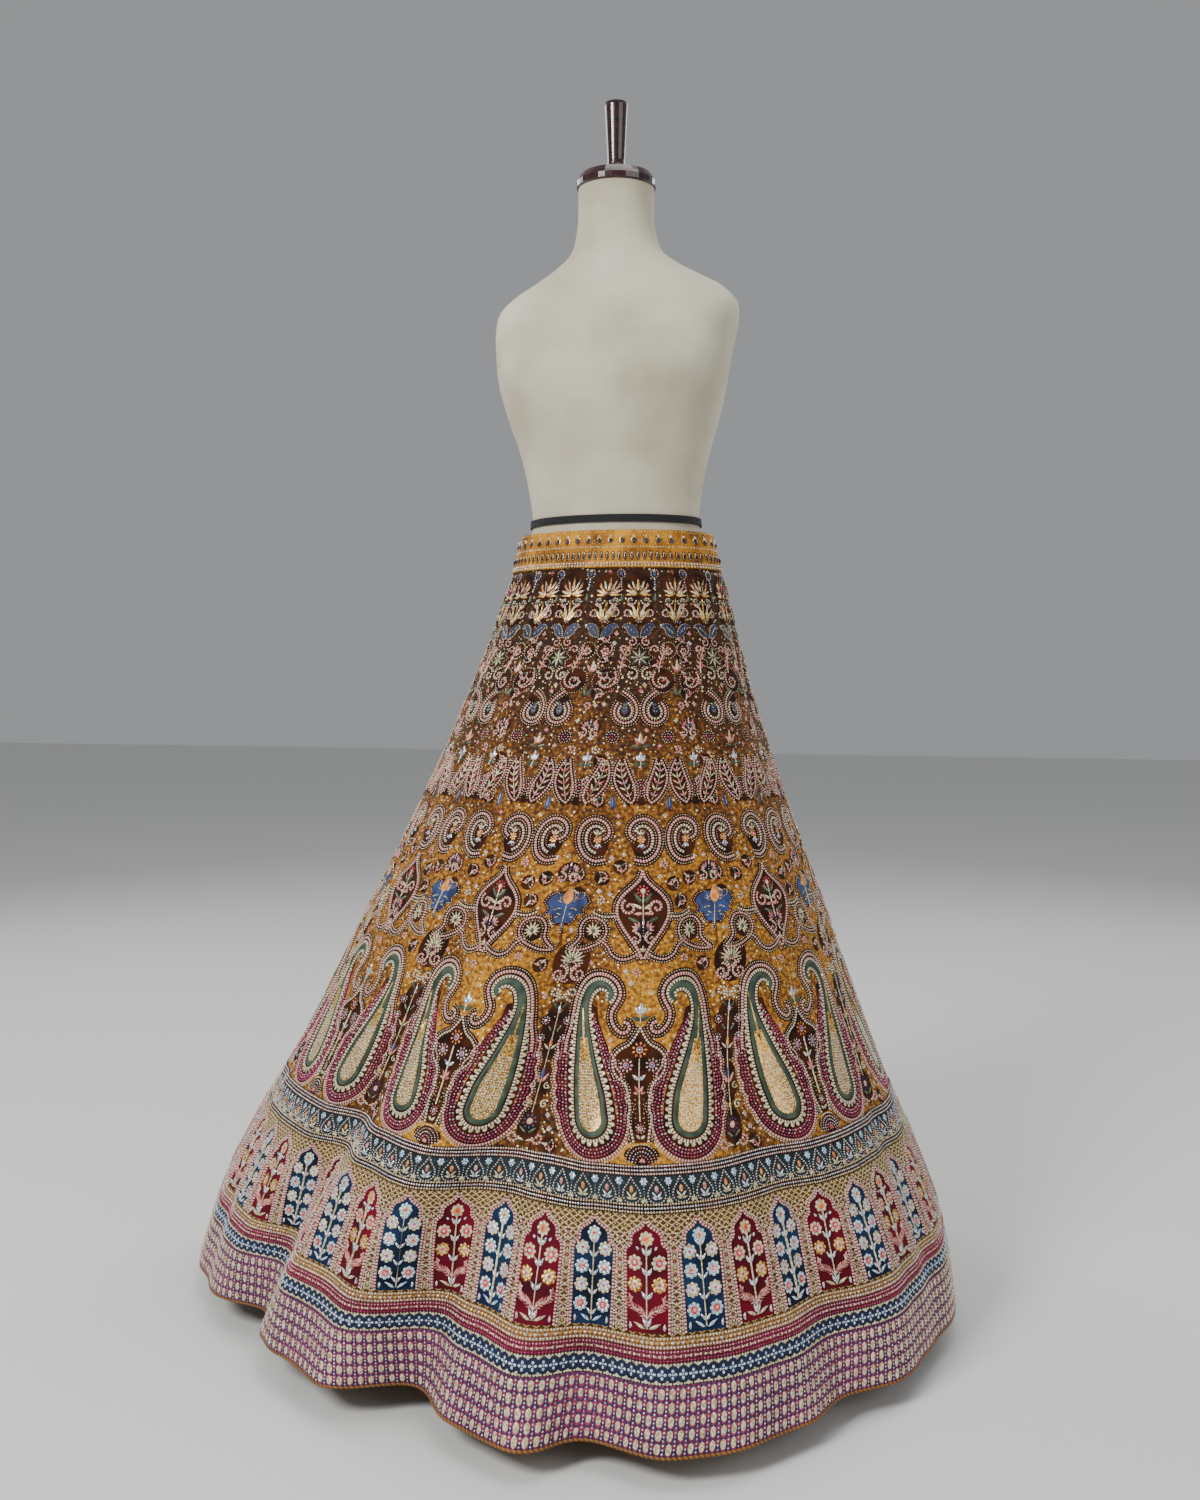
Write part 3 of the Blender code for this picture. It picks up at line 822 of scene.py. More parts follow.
    def covered(self, size):
        """Points spread over every face, in millimetres, on a grid of that size."""
        bmesh.ops.triangulate(self.mesh, faces=self.mesh.faces)
        corners = np.array([[vert.co.xy for vert in face.verts] for face in self.mesh.faces])
        share = np.array([(a, b, 6 - a - b) for a in range(7) for b in range(7 - a)]) / 6
        spread = np.einsum("sc,fcx->fsx", share, corners).reshape(-1, 2)
        return np.unique(np.round(spread / size), axis=0) * size

    def done(self, name):
        """Turns the drawing into a mesh in metres, with every face turned outward."""
        bmesh.ops.remove_doubles(self.mesh, verts=self.mesh.verts, dist=STITCH_WELD)
        self.mesh.normal_update()
        down = [face for face in self.mesh.faces if face.normal.z < 0]
        bmesh.ops.reverse_faces(self.mesh, faces=down)
        bmesh.ops.scale(self.mesh, verts=self.mesh.verts, vec=(MM, MM, MM))
        self.tile = bpy.data.meshes.new(name)
        self.mesh.to_mesh(self.tile)
        self.mesh.free()
        return self


def sew(name, drawing, places, count=KALIS, lift=0.0, lay=lay_on_skirt):
    """Carries a flat drawing to each of the places round the skirt and joins the copies as one piece."""
    tile = drawing.tile
    flat = np.zeros(len(tile.vertices) * 3)
    tile.vertices.foreach_get("co", flat)
    flat = flat.reshape(-1, 3) + (0, 0, lift)
    joined = bmesh.new()
    for _ in places:
        joined.from_mesh(tile)
    placed = np.concatenate([lay(flat, place, count) for place in places])
    data = bpy.data.meshes.new(name)
    joined.to_mesh(data)
    joined.free()
    data.vertices.foreach_set("co", placed.ravel())
    add_piece(name, data, drawing.finishes)


Spine = namedtuple("Spine", "x s radius spread")
PAISLEY = [Spine(*row) for row in (
    (-56.5, 319.0, 11.5, 1.00),
    (-59.4, 341.8, 11.2, 1.00),
    (-63.4, 363.8, 8.2, 0.98),
    (-66.7, 386.0, 4.8, 0.90),
    (-68.9, 406.6, 2.2, 0.78),
    (-69.6, 425.7, 0.7, 0.62),
    (-67.0, 443.4, 0.0, 0.54),
    (-59.4, 457.4, 0.0, 0.50),
    (-48.5, 463.0, 0.0, 0.46),
    (-38.2, 460.0, 0.0, 0.40),
    (-34.0, 452.0, 0.0, 0.34),
    (-38.5, 446.0, 0.0, 0.28),
)]
SPINE_POINTS, TAIL_START = 64, 29


def paisley(work, side):
    """One big paisley: a sequinned core in a green band, sequin flowers, and a magenta beaded surround."""
    table = np.array(PAISLEY)
    chord = np.concatenate([[0], np.cumsum(np.hypot(*np.diff(table[:, :2], axis=0).T))])
    at = np.linspace(0, chord[-1], SPINE_POINTS)
    x, s, radius, spread = (curve_through(chord, table[:, column], at) for column in range(4))
    spine = np.stack([x, s], axis=1)
    heading = atan2(*(spine[1] - spine[0])[::-1])

    def facing(path):
        return path if side < 0 else mirrored(path)

    def around(distance, left=1.0, right=1.0, lobes=0.0):
        """A line round the core, up its left and right sides to a share of its spine."""
        reach = np.maximum(np.maximum(radius, 0) + distance * spread, 0)
        lower = np.clip(1 - at / 95, 0, 1) ** 0.5
        reach = reach + lobes * lower * abs(np.sin(at / 17 * pi))
        bottom = heading + pi / 2 + np.linspace(0, pi, 18)[1:-1]
        foot = spine[0] + reach[0] * np.stack([np.cos(bottom), np.sin(bottom)], axis=1)
        up_left = beside(spine, reach)[:int(left * SPINE_POINTS)][::-1]
        up_right = beside(spine, -reach)[:int(right * SPINE_POINTS)]
        return facing(np.concatenate([up_left, foot, up_right]))

    def strip(finish, distances, heights, **ends):
        work.ribbon(finish, [around(distance, **ends) for distance in distances], heights)

    core = dict(left=0.46, right=0.46)
    strip(GOLD, (2.5, -8, -30), (0.3, 0.4, 0.4), **core)
    for distance in (-0.9, -4.0, -7.1, -10.2):
        work.beads(CREAM, around(distance, left=0.34, right=0.34), 3.1, 2.8, 2.0, second=SILVER)
    work.dashes(CREAM, around(1.9, left=0.52, right=0.52), 4.6, 2.0, 4.0, 1.8)
    tail = facing(spine[TAIL_START:])
    for outer, finish, rise in ((19.0, BROWN_GROUND_AND_SHADOW, 0.1), (8.6, GREEN, 1.0)):
        half = np.maximum(radius[TAIL_START:], 0) + outer * spread[TAIL_START:]
        work.ribbon(finish, [beside(tail, half * share) for share in (-1, -0.5, 0, 0.5, 1)],
                    (0.2, rise + 0.3, rise + 0.3, rise + 0.3, 0.2))
    strip(GREEN, (3.1, 5.8, 8.6), (0.2, 1.4, 0.2), left=0.52, right=0.52)
    ahead = tail[6] - tail[0]
    work.leaf(GOLD, *(tail[0] - ahead * 0.9), hypot(*ahead) * 3.6, 8.6, degrees(atan2(ahead[1], ahead[0])),
              2.0, CREAM)
    ladder = around(12.6)
    work.cord(CREAM_CORD, ladder, 4.4, 2.0)
    for x, s in even(around(15.6, left=0.60, right=0.62), 7.8):
        work.disc(CREAM, x, s, 7.6, 1.4, sides=7)
        work.disc(SILVER, x, s, 3.0, 2.2)
    strip(BROWN_GROUND_AND_SHADOW, (8.4, 11.5, 15.0, 19.8), (0.1, 0.3, 0.3, 0.2), left=0.60, right=0.60)
    strip(BROWN_GROUND_AND_SHADOW, (19.6, 23.5, 27.5, 31.5), (0.2, 0.45, 0.45, 0.2), left=0.48, right=0.70, lobes=2.5)
    for distance, finish, second, lobes in ((21.3, ROSE, MAGENTA, 1.0), (24.7, MAGENTA, ROSE, 1.8),
                                            (28.2, MAGENTA, MAGENTA, 2.6)):
        ends = dict(left=0.46, right=0.64 - (distance - 21) * 0.012, lobes=lobes)
        work.beads(finish, around(distance, **ends), 3.6, 3.3, 2.2, second=second)
    work.cord(PINK_CORD, around(32.5, left=0.46, right=0.40, lobes=4.0), 3.6, 1.7)
    work.beads(CREAM, around(35.8, left=0.42, right=0.34, lobes=4.6), 3.2, 2.6, 1.6)
    hook = trace([(-93, 382), (-90, 398), (-85.5, 412), (-82, 430), (-77.5, 447), (-70.5, 462), (-60, 471.5),
                  (-48, 474.5), (-35.5, 471.5), (-26.5, 463), (-24.0, 452.5), (-28, 443), (-33, 434),
                  (-32.5, 424), (-27, 415.5), (-19.5, 411.5), (-13.2, 414.5), (-13, 421),
                  (-18.5, 423.5)], 2.6)
    work.rope(PINK_CORD, facing(hook), 5.0, CREAM, clear=6.6)


def ring_flower(work, x, s, width, rim, ring, eye):
    """A round blossom with a stone at its middle, on a dark ground that is partly painted shadow."""
    work.ground(x, s, width * 1.45, width * 1.45)
    rings = ((width, rim), (width * 0.66, ring), (width * 0.40, eye), (width * 0.18, SILVER))
    work.blossom(x, s, rings, 9, rim)


def sprout(work, x, s, size):
    """Three silver leaves on a short stem over a pair of green ones."""
    work.cord(CREAM, upright(x, s, s + size * 0.5, 2), 1.4)
    work.fan(SILVER, x, s + size * 0.35, size * 0.6, size * 0.22, 90, 70, 3)
    for side in (-1, 1):
        work.leaf(GREEN, x, s + size * 0.12, size * 0.45, size * 0.24, 90 - side * 68)


def outlined(work, half, cord, width, bead, gap):
    """A frame with two mirrored sides, given as its right half: its dark ground and edging, partly painted
    shadow, its beads and its cord.
    """
    edge = trace(half, 2.6)
    other = mirrored(edge)
    work.fill(BROWN_GROUND_AND_SHADOW, other, edge)
    for path, side in ((edge, 1), (other, -1)):
        outward = -side if path[-1][1] > path[0][1] else side
        work.ribbon(BROWN_GROUND_AND_SHADOW, [beside(path, outward * off) for off in (0, gap, gap + 2.6)], (0.5, 0.6, 0.2))
        work.beads(bead, beside(path, outward * gap), 3.0, 2.5, 1.9)
        work.cord(cord, path, width, 2.0)


def trefoil(work):
    """The frame between the two paisleys: three blossoms on a stem, under a pointed arch of pearls."""
    half = [(0, 417), (5, 408), (12, 399), (21, 394), (28, 386), (29, 374), (23.5, 364), (15.5, 357.5),
            (12, 346), (10.5, 333), (12.5, 321), (10, 309), (8, 297)]
    outlined(work, half, CREAM_CORD, 3.4, PEARL, 3.4)
    work.level = 0.4
    work.cord(CREAM, upright(0, 384, 318), 1.5, 1.6)
    ring_flower(work, 0, 393.5, 15, ORANGE, PINK, BLUE)
    for side in (-1, 1):
        ring_flower(work, side * 14.2, 377, 13, PEARL, ROSE, BLUE)
        work.leaves(0, side, (SILVER, 0, 361, 10, 4.4, 50), (PINK, 0, 348, 9.5, 3.8, 34),
                    (PINK, 0, 347, 8, 3.6, 78), (CREAM, 0, 300, 7, 3.8, 48))
    work.leaf(PINK, 0, 349, 8, 3.4, 90)
    work.beads(CREAM, upright(0, 341, 319), 3.4, 2.4)
    for side in (-1, 1):
        work.beads(GOLD, upright(side * 4.6, 341, 317), 4.4, 1.9)
    ring_flower(work, 0, 311, 9.5, ROSE, CREAM, GREEN)
    work.level = 0.0
    work.ground(0, 284, 38, 20)
    for radius, finish in ((7.0, ROSE), (10.5, SILVER), (14.0, PEARL), (17.5, CREAM)):
        work.beads(finish, arc(0, 276, radius, radius * 1.1, 6, 174), 3.0, 2.6, 1.9)
    work.fan(PINK, 0, 276, 6.5, 2.4, 90, 120, 5)
    sprout(work, 0, 422, 26)
    work.beads(CREAM, upright(0, 449, 466), 3.4, 1.8)


def twin_blossoms(work, x, s, size):
    """Two pink half blossoms with a blue eye each, over a pair of curls."""
    work.ground(x, s - 3 * size, 34 * size, 30 * size)
    for side in (-1, 1):
        for number in range(4):
            work.leaf(PINK, x + side * 5 * size, s, 10.5 * size, 5.0 * size, 90 - side * (4 + 34 * number))
        work.disc(BLUE, x + side * 5.5 * size, s + 1, 5.4 * size, 2.4, 7.2 * size)
        work.disc(SILVER, x + side * 5.5 * size, s + 1, 2, 3.0, 2.6)
        work.curl(PINK_CORD, x + side * 9.5 * size, s - 12.5 * size, 14.5 * size, 90, 1.25, side, 3.0)
        work.curl(CREAM, x + side * 9.5 * size, s - 12.5 * size, 20 * size, 110, 0.62, side, 1.8)
    work.beads(SILVER, upright(x, s - 9 * size, s + 5 * size), 3.2, 2.4)
    work.leaf(SILVER, x, s + 3 * size, 11 * size, 4.4 * size, 90)


def ogee(work):
    """The frame over the trefoil: a pointed arch on a narrow foot round a red bud and twin blossoms."""
    half = [(0, 595), (3, 586), (11, 577), (22, 567), (29.5, 555), (30, 543), (24, 529), (15, 516), (6, 503),
            (1, 492)]
    outlined(work, half, PINK_CORD, 4.4, CREAM, 3.9)
    work.level = 0.4
    for side in (-1, 1):
        work.curl(PINK_CORD, side * 16, 552, 19, 180 + 60 * side, 1.25, -side, 3.6)
        work.leaves(0, side, (GREEN, 0, 556, 19, 6.4, 38, 1.4, CREAM), (CREAM, 0, 550, 15, 4.4, 64),
                    (PINK, 0, 545, 12, 4.4, 94), (GREEN, 3, 533, 19, 5.4, 64, 1.4, CREAM))
    work.cord(CREAM, upright(0, 528, 570), 1.5)
    ring_flower(work, 0, 571, 13, CORAL, PINK, CREAM)
    twin_blossoms(work, 0, 527, 0.95)
    work.fan(CREAM, 0, 500, 9, 3.0, 90, 70, 3)
    work.level = 0.0
    for side in (-1, 1):
        for path, finish in (([(4, 500), (14, 494), (26, 492), (36, 497), (42, 507), (52, 513)], PINK_CORD),
                             ([(32, 541), (41, 540), (50, 541), (58, 545)], CREAM_CORD)):
            work.rope(finish, trace(at_side(path, side), 2.8), 3.4, CREAM, clear=5.0)


BOTEH = [(0, 0.50), (0.38, 0.38), (0.54, 0.04), (0.42, -0.34), (0.08, -0.66), (-0.34, -0.92), (-0.80, -1.0),
         (-0.62, -0.76), (-0.46, -0.44), (-0.52, 0.02), (-0.36, 0.38)]


def boteh(work, x, s, size, hand, turn):
    """A small shell with a curved tail: a corded and beaded edge round a fan of cream leaves and an eye."""
    lean = radians(turn)
    shape = np.array(BOTEH) * (hand, 1) * size
    shape = shape @ np.array([[cos(lean), sin(lean)], [-sin(lean), cos(lean)]]) + (x, s)
    edge = trace(shape, 2.8, closed=True)
    work.ground(x, s, size * 0.95, size * 0.95)
    work.rope(PINK_CORD, edge, 3.2, CREAM, True, 4.6)
    work.fan(CREAM, x, s - size * 0.05, size * 0.44, size * 0.13, 90 + turn - hand * 10, 300, 11)
    work.disc(GREEN, x, s - size * 0.04, size * 0.34, 2.1, size * 0.40, turn, 7)
    work.blossom(x, s - size * 0.04, ((size * 0.20, SILVER), (size * 0.11, BLUE)))


def blue_leaf(work, x, s):
    """A lobed leaf in royal blue silk with cream veins, a pearl edge and an orange flame on top."""
    half = [(0.5, -25), (2.2, -13), (8, -17), (12, -11), (13.5, -5.5), (20, -6), (17.5, 0.5), (23.5, 7),
            (20, 14), (12, 18.5), (7.5, 14), (0.5, 6)]
    edge = even(np.array([(x + a, s + b) for a, b in half], float), 2.4)
    other = edge * (-1, 1) + (2 * x, 0)
    rim = (x, s) + (edge - (x, s)) * (1.22, 1.16)
    work.fill(BROWN_GROUND_AND_SHADOW, rim * (-1, 1) + (2 * x, 0), rim, 0.5)
    work.fill(BLUE, other, edge, 1.1)
    for side, path in ((-1, other), (1, edge)):
        work.beads(PEARL, (x, s) + (path - (x, s)) * (1.12, 1.10), 2.8, 2.1, 1.9)
        for rise, lean, foot in ((7, 62, 5), (9, 28, 7), (0, 84, 4), (1, 118, 8), (-8, 66, 3), (-9, 108, 5)):
            work.leaf(CREAM, x + side * foot, s + rise, 8.0, 2.6, 90 - side * lean, 2.4)
    work.cord(CREAM, upright(x, s - 22, s + 4), 1.5, 2.4)
    flame = [(0, 4), (6, 11), (5, 18), (0, 25)]
    work.patch(ORANGE, at_side(flame, -1, x, s), at_side(flame, 1, x, s), 1.7, CREAM, 6)
    work.blossom(x, s + 13.5, ((5.4, CORAL), (2.6, BROWN_GROUND_AND_SHADOW)))


def kidney(work, x, s, hand, size):
    """A bean-shaped scroll in rows of thick cord and beads that ends in a hook, with a red bud inside."""
    bean = at_side([(10, -27), (-3, -29), (-15, -22), (-21.5, -9), (-22, 6), (-16, 19), (-4, 26), (8, 23),
                    (15, 14), (14.5, 4), (8, -1)], -hand) * size
    work.ground(x + hand * 4 * size, s, 38 * size, 56 * size)
    path = trace(bean, 2.8) + (x, s)
    work.rope(PINK_CORD, path, 4.6, CREAM, clear=6.4)
    inner = trace(bean[1:9] * (0.60, 0.64), 2.8) + (x, s)
    work.cord(CREAM_CORD, inner, 4.2, 2.0)
    work.beads(ROSE, trace(bean[1:9] * (0.38, 0.44), 2.8) + (x, s), 2.9, 2.3, 1.8)
    work.level = 0.4
    work.blossom(x - hand * 1.0, s - size, ((8.5 * size, GOLD), (5.4 * size, CORAL), (2.6, CREAM)), 7, GOLD)
    for lean in (50, 90, 130):
        work.leaf(CREAM, x - hand * 1.0, s + 4 * size, 9 * size, 3.0, lean)
        work.leaf(SILVER, x - hand * 1.0, s - 6 * size, 8 * size, 2.8, -lean)
    work.level = 0.0


FEATHER_HEADING = 89.9


def feather(work, x, s, length, finish, tip, width):
    """A curved spray: a corded stem with small leaves on both sides and a bud at its tip."""
    heading = radians(FEATHER_HEADING)
    bend = np.linspace(0, 1, 7)[:, None]
    ahead = np.array([[cos(heading), sin(heading)]])
    stem = (x, s) + ahead * bend * length + ahead[:, ::-1] * (1, -1) * bend ** 2 * length * 0.35
    work.cord(CREAM, stem, 1.5, 1.6)
    for number in range(1, 6):
        step = stem[number] - stem[number - 1]
        turn = degrees(atan2(step[1], step[0]))
        for part in (-1, 1):
            work.leaf(finish, *stem[number], length * 0.22, width * 1.3, turn + part * 46)
    work.blossom(*stem[-1], ((width * 2.2, tip), (width, SILVER)), 5, tip)


def seam_column(work, x):
    """What climbs each seam: a purple flower, a leaf bud, little blossoms, curls, and a sprout."""
    for low, high, width in ((280, 322, 26), (326, 372, 22), (372, 440, 30), (460, 512, 42)):
        work.ground(x, (low + high) / 2, width, high - low)
    ring_flower(work, x, 304, 15, BLUE, PINK, CREAM)
    for side in (-1, 1):
        work.leaves(x, side, (GREEN, 0, 290, 15, 5.4, 52, 1.4, CREAM), (CREAM, 0, 282, 12, 4.0, 70))
        work.curl(PINK_CORD, x + side * 15, 287, 14, 180 if side > 0 else 0, 1.2, side, 3.0)
        for reach, rise, width in ((10.5, 324, 9), (8.5, 344, 8)):
            work.curl(CREAM, x + side * reach, rise, width, 90, 1.15, side, 2.0)
        for reach, rise in ((11.5, 378), (13, 398), (12, 418)):
            ring_flower(work, x + side * reach, rise, 8.6, PEARL, MAGENTA, SILVER)
        work.curl(CREAM_CORD, x + side * 10, 449, 17, 270, 1.1, -side, 3.0)
        work.leaves(x, side, (PINK, 0, 346, 17, 5.4, 30), (CREAM, 0, 384, 12, 4.2, 44),
                    (GREEN, 2, 404, 12, 4.6, 34, 1.4, CREAM), (GREEN, 2, 430, 12, 4.4, 30))
    work.cord(CREAM, upright(x, 314, 440, 4), 1.5, 1.5)
    work.leaf(BLUE, x, 350, 17, 8, 90, vein=CREAM)
    work.leaf(ORANGE, x, 386, 13, 6, 90, vein=CREAM)
    work.leaf(SILVER, x, 424, 14, 5, 90)
    work.fan(CREAM, x, 487, 21, 4.2, 90, 170, 9)
    work.fan(GREEN, x, 487, 12, 3.4, 90, 110, 4)
    work.blossom(x, 488, ((7, BLUE), (4, SILVER)), 6, PINK)
    for side in (-1, 1):
        work.curl(PINK_CORD, x + side * 11, 472, 20, 90, 1.35, side, 4.0)
        work.curl(CREAM_CORD, x + side * 11, 472, 27, 80, 0.6, side, 2.6)


def rosette(work, x, s, width):
    """A round flower in rings of beads, close together."""
    work.ground(x, s, width * 1.16, width * 1.16)
    for number, finish in enumerate((CREAM, ROSE, PEARL, MAGENTA)):
        reach = width / 2 - number * 3.3
        if reach > 2.4:
            work.beads(finish, arc(x, s, reach, reach, 0, 345), 3.3, 2.7, 1.9, closed=True)
    work.blossom(x, s, ((5.4, GOLD), (2.6, CORAL)))


def plume(work, x, s, length, width, lean, finish):
    """A leaf-shaped frame in pink cord round a spray of paired leaves, leaning from its foot."""
    side = 1 if lean > 0 else -1
    turn = radians(-lean)
    swing = np.array([[cos(turn), sin(turn)], [-sin(turn), cos(turn)]])
    reach = np.linspace(0, 1, 16)
    bend = side * length * 0.09 * np.sin(pi * reach ** 1.4)
    half = width / 2 * np.sin(pi * reach ** 0.8) ** 0.8
    sides = [np.stack([bend + edge * half, reach * length], axis=1) @ swing + (x, s) for edge in (-1, 1)]
    work.fill(BROWN_GROUND_AND_SHADOW, sides[0], sides[1], 0.5, 3)
    for edge, path in zip((1, -1), sides):
        work.rope(PINK_CORD, even(path[:-1], 2.8), 3.2, clear=4.4)
        work.beads(CREAM, beside(path[1:-1], edge * 3.6), 3.2, 2.4, 1.9)
    stem = np.stack([bend, reach * length], axis=1) @ swing + (x, s)
    work.cord(CREAM, stem[1:-2], 1.3, 1.9)
    for number in range(2, 13, 2):
        size = half[number] * 1.15
        ahead = degrees(atan2(*(stem[number + 1] - stem[number - 1])[::-1]))
        for part in (-1, 1):
            work.leaf(finish if number % 4 else CREAM, *stem[number], size, 3.2, ahead + part * 42, 1.9)


def drop_scroll(work, x, s, hand, size):
    """A drop of blue silk in nested cords, whose outer cord ends in a volute."""
    drop = at_side([(2, 24), (-7, 17), (-13.5, 7), (-14, -5), (-8, -14.5), (2, -16.5), (11, -10.5),
                    (12.5, 0), (7.5, 10)], -hand) * size
    work.ground(x, s, 31 * size, 40 * size)
    work.rope(PINK_CORD, trace(drop, 2.8) + (x, s), 4.0, CREAM, clear=5.8)
    work.cord(CREAM_CORD, trace(drop[1:] * 0.60, 2.6) + (x, s - 1), 3.0, 2.0)
    foot = np.array([(x, s - 7 * size)])
    work.patch(NAVY, foot + [(0, 0), (-4.5, 5), (-3, 11), (hand * 3, 19)],
               foot + [(0, 0), (4.5, 5), (3.6, 11), (hand * 3, 19)], 1.4, None, 6)
    for rise in (2, 7, 11):
        for part in (-1, 1):
            work.leaf(CREAM, x + hand * rise * 0.1, s + rise - 6, 4.4, 1.7, 90 + part * 40, 2.2)


def waist_palmette(work, x):
    """The head of a waist column: two fans of leaves, pairs of curls, and blue leaves that curl out."""
    work.ground(x, 960, 38, 46)
    work.ground(x, 930, 36, 42)
    for number in range(9):
        lean = (number - 4) * 23
        work.leaf(CREAM if number % 2 else GOLD, x, 951, 25 - abs(lean) * 0.08, 6.4, 90 - lean, 1.5)
    for lean in (-46, -23, 0, 23, 46):
        work.leaf(BROWN_GROUND_AND_SHADOW if lean else ROSE, x, 953, 15, 3.2, 90 - lean, 2.2)
    for side in (-1, 1):
        work.leaf(PINK, x + side * 8, 955, 14, 3.4, 90 - side * 20, 2.2)
    for side in (-1, 1):
        work.leaf(GREEN, x + side * 4, 946, 14, 4.4, 90 - side * 118, 1.8, CREAM)
    for lean in (-38, -19, 0, 19, 38):
        work.leaf((GOLD, CREAM)[lean % 2], x, 914, 33 - abs(lean) * 0.2, 6.4, 90 - lean, 1.6)
    work.leaf(BROWN_GROUND_AND_SHADOW, x, 918, 20, 4.0, 90, 2.4)
    work.blossom(x, 917, ((8, ROSE), (5, ORANGE), (2.4, SILVER)), 7, CREAM)
    for side in (-1, 1):
        work.curl(CREAM_CORD, x + side * 9.5, 943, 13, 90 + side * 90, 1.15, side, 2.8)
        work.curl(PINK_CORD, x + side * 13.5, 927, 14, 90 + side * 90, 1.15, side, 3.0)
        work.leaf(PINK, x + side * 5, 933, 13, 4.2, 90 - side * 62, 2.0)
    for side in (-1, 1):
        work.leaf(GREEN, x + side * 13, 918, 15, 5.0, 90 + side * 6, 1.6, CREAM)
        work.patch(NAVY, at_side([(1.5, 893), (3, 902), (9, 910), (17, 911.5), (20.5, 907)], side, x),
                   at_side([(1.5, 893), (9, 894.5), (14.5, 899.5), (16.5, 906), (20.5, 907)], side, x),
                   1.4, CREAM, 8)
        for rise in (897, 900.5, 904):
            work.leaf(CREAM, x + side * (rise - 891.5), rise, 5.2, 2.2, 90 - side * 20, 2.2)


def star_column(work, x):
    """Under one palmette: an eight-pointed star between curls, with a pair of scrolls below it."""
    work.ground(x, 868, 46, 50)
    for side in (-1, 1):
        work.curl(PINK_CORD, x + side * 9, 887, 13, 90, 1.25, side, 3.0)
        work.curl(PINK_CORD, x + side * 20, 877, 12, 200 if side > 0 else -20, 1.2, -side, 2.8)
        work.curl(CREAM_CORD, x + side * 10, 844, 17, 90, 1.25, side, 3.2)
        work.leaf(PINK, x + side * 14, 853, 12, 4, 90 - side * 60)
    rim = [(x + reach * cos(tau * k / 16), 866 + reach * sin(tau * k / 16))
           for k, reach in enumerate([19, 12.5] * 8)]
    work.beads(CREAM, np.array(rim + rim[:1]), 2.9, 2.2, 1.8)
    for number in range(8):
        work.leaf(GREEN, x, 866, 16, 7.6, number * 45, 1.3)
        work.leaf(CREAM, x, 866, 12.5, 2.6, number * 45, 2.3)
    work.blossom(x, 866, ((6, CORAL), (3, SILVER)))


def eye_column(work, x):
    """Under the next palmette: a small and a large pair of round scrolls, each round a flower."""
    for reach, rise, width in ((11.5, 876, 19), (20, 836, 31)):
        for side in (-1, 1):
            place = x + side * reach
            work.ground(place, rise, width * 1.14, width * 1.14)
            work.curl(PINK_CORD, place, rise, width * 0.92, 90 - side * 90 + side * 50, 0.97, -side,
                      3.0 + width * 0.03)
            work.curl(CREAM_CORD, place, rise, width * 0.56, 90 + side * 100, 1.1, side, 2.8)
            work.beads(CREAM, arc(place, rise, width / 2 + 1.2, width / 2 + 1.2, 0, 340), 3.2, 2.3, 1.7)
            work.blossom(place, rise - 1, ((5.4, GOLD), (2.8, CORAL)))
    work.leaf(CREAM, x, 846, 18, 5.4, 90)
    for side in (-1, 1):
        work.leaves(x, side, (PINK, 0, 846, 14, 4.4, 34), (GREEN, 0, 814, 15, 5, 24, 1.4, CREAM))


def panel_drawing():
    """One panel's embroidery, from the borders to the waistband. Seam motifs are drawn at its right."""
    work = Needlework()
    for side in (-1, 1):
        paisley(work, side)
    trefoil(work)
    ogee(work)
    seam_column(work, half_panel(380))
    blue_leaf(work, half_panel(550), 549)
    for side in (-1, 1):
        boteh(work, side * (half_panel(525) - 35), 524, 29, -side, side * 14)
    third = half_panel(630) * 2 / 3
    for number in range(3):
        kidney(work, (number - 1) * third, 634, 1 if number % 2 else -1, 0.94)
    twin_blossoms(work, half_panel(600), 596, 0.8)
    row = half_panel(720)
    for foot in (0, row):
        work.ground(foot, 690, 18, 30)
        sprout(work, foot, 722, 24)
        rosette(work, foot, 697, 21)
        for side in (-1, 1):
            plume(work, foot + side * 12, 678, 60, 21, side * 9, PINK if foot else ROSE)
    for side in (-1, 1):
        rosette(work, side * row / 2, 762, 15)
        work.leaf(BLUE, side * row / 2, 668, 22, 8, 90, 1.4, CREAM)
        drop_scroll(work, side * 19, 797, -side, 1.02)
    work.leaf(CREAM, 0, 752, 17, 5.4, 90)
    for side in (-1, 1):
        work.leaves(0, side, (PINK, 0, 752, 14, 4.4, 40), (GREEN, 0, 748, 14, 4.8, 74, 1.4, CREAM))
    twin_blossoms(work, half_panel(770), 776, 0.78)
    for x, column in ((0, star_column), (half_panel(900), eye_column)):
        waist_palmette(work, x)
        column(work, x)
    for side in (-1, 1):
        drop = side * half_panel(960) / 2
        work.disc(BLUE, drop, 980, 5.0, 1.9, 8.0, 0, 8)
        work.beads(PEARL, arc(drop, 980, 4.8, 6.2, 0, 350), 2.8, 1.9)
        work.beads(ICE, np.array([(drop, 972), (drop, 958)], float), 3.2, 2.6, 2.0)
        work.leaf(GREEN, drop, 940, 15, 5, 90, vein=CREAM)
        feather(work, side * half_panel(900) / 2, 846, 34, PINK, ORANGE, 2.0)
    return work


SPRINKLE_LOW, SPRINKLE_HIGH, SPRINKLE_CLEAR = 278, 984, 1.4
# Each kind's width, and how many places are tried for it.
SPRINKLE_KINDS = ((9.0, 360), (6.2, 420), (4.2, 760), (2.5, 2000))


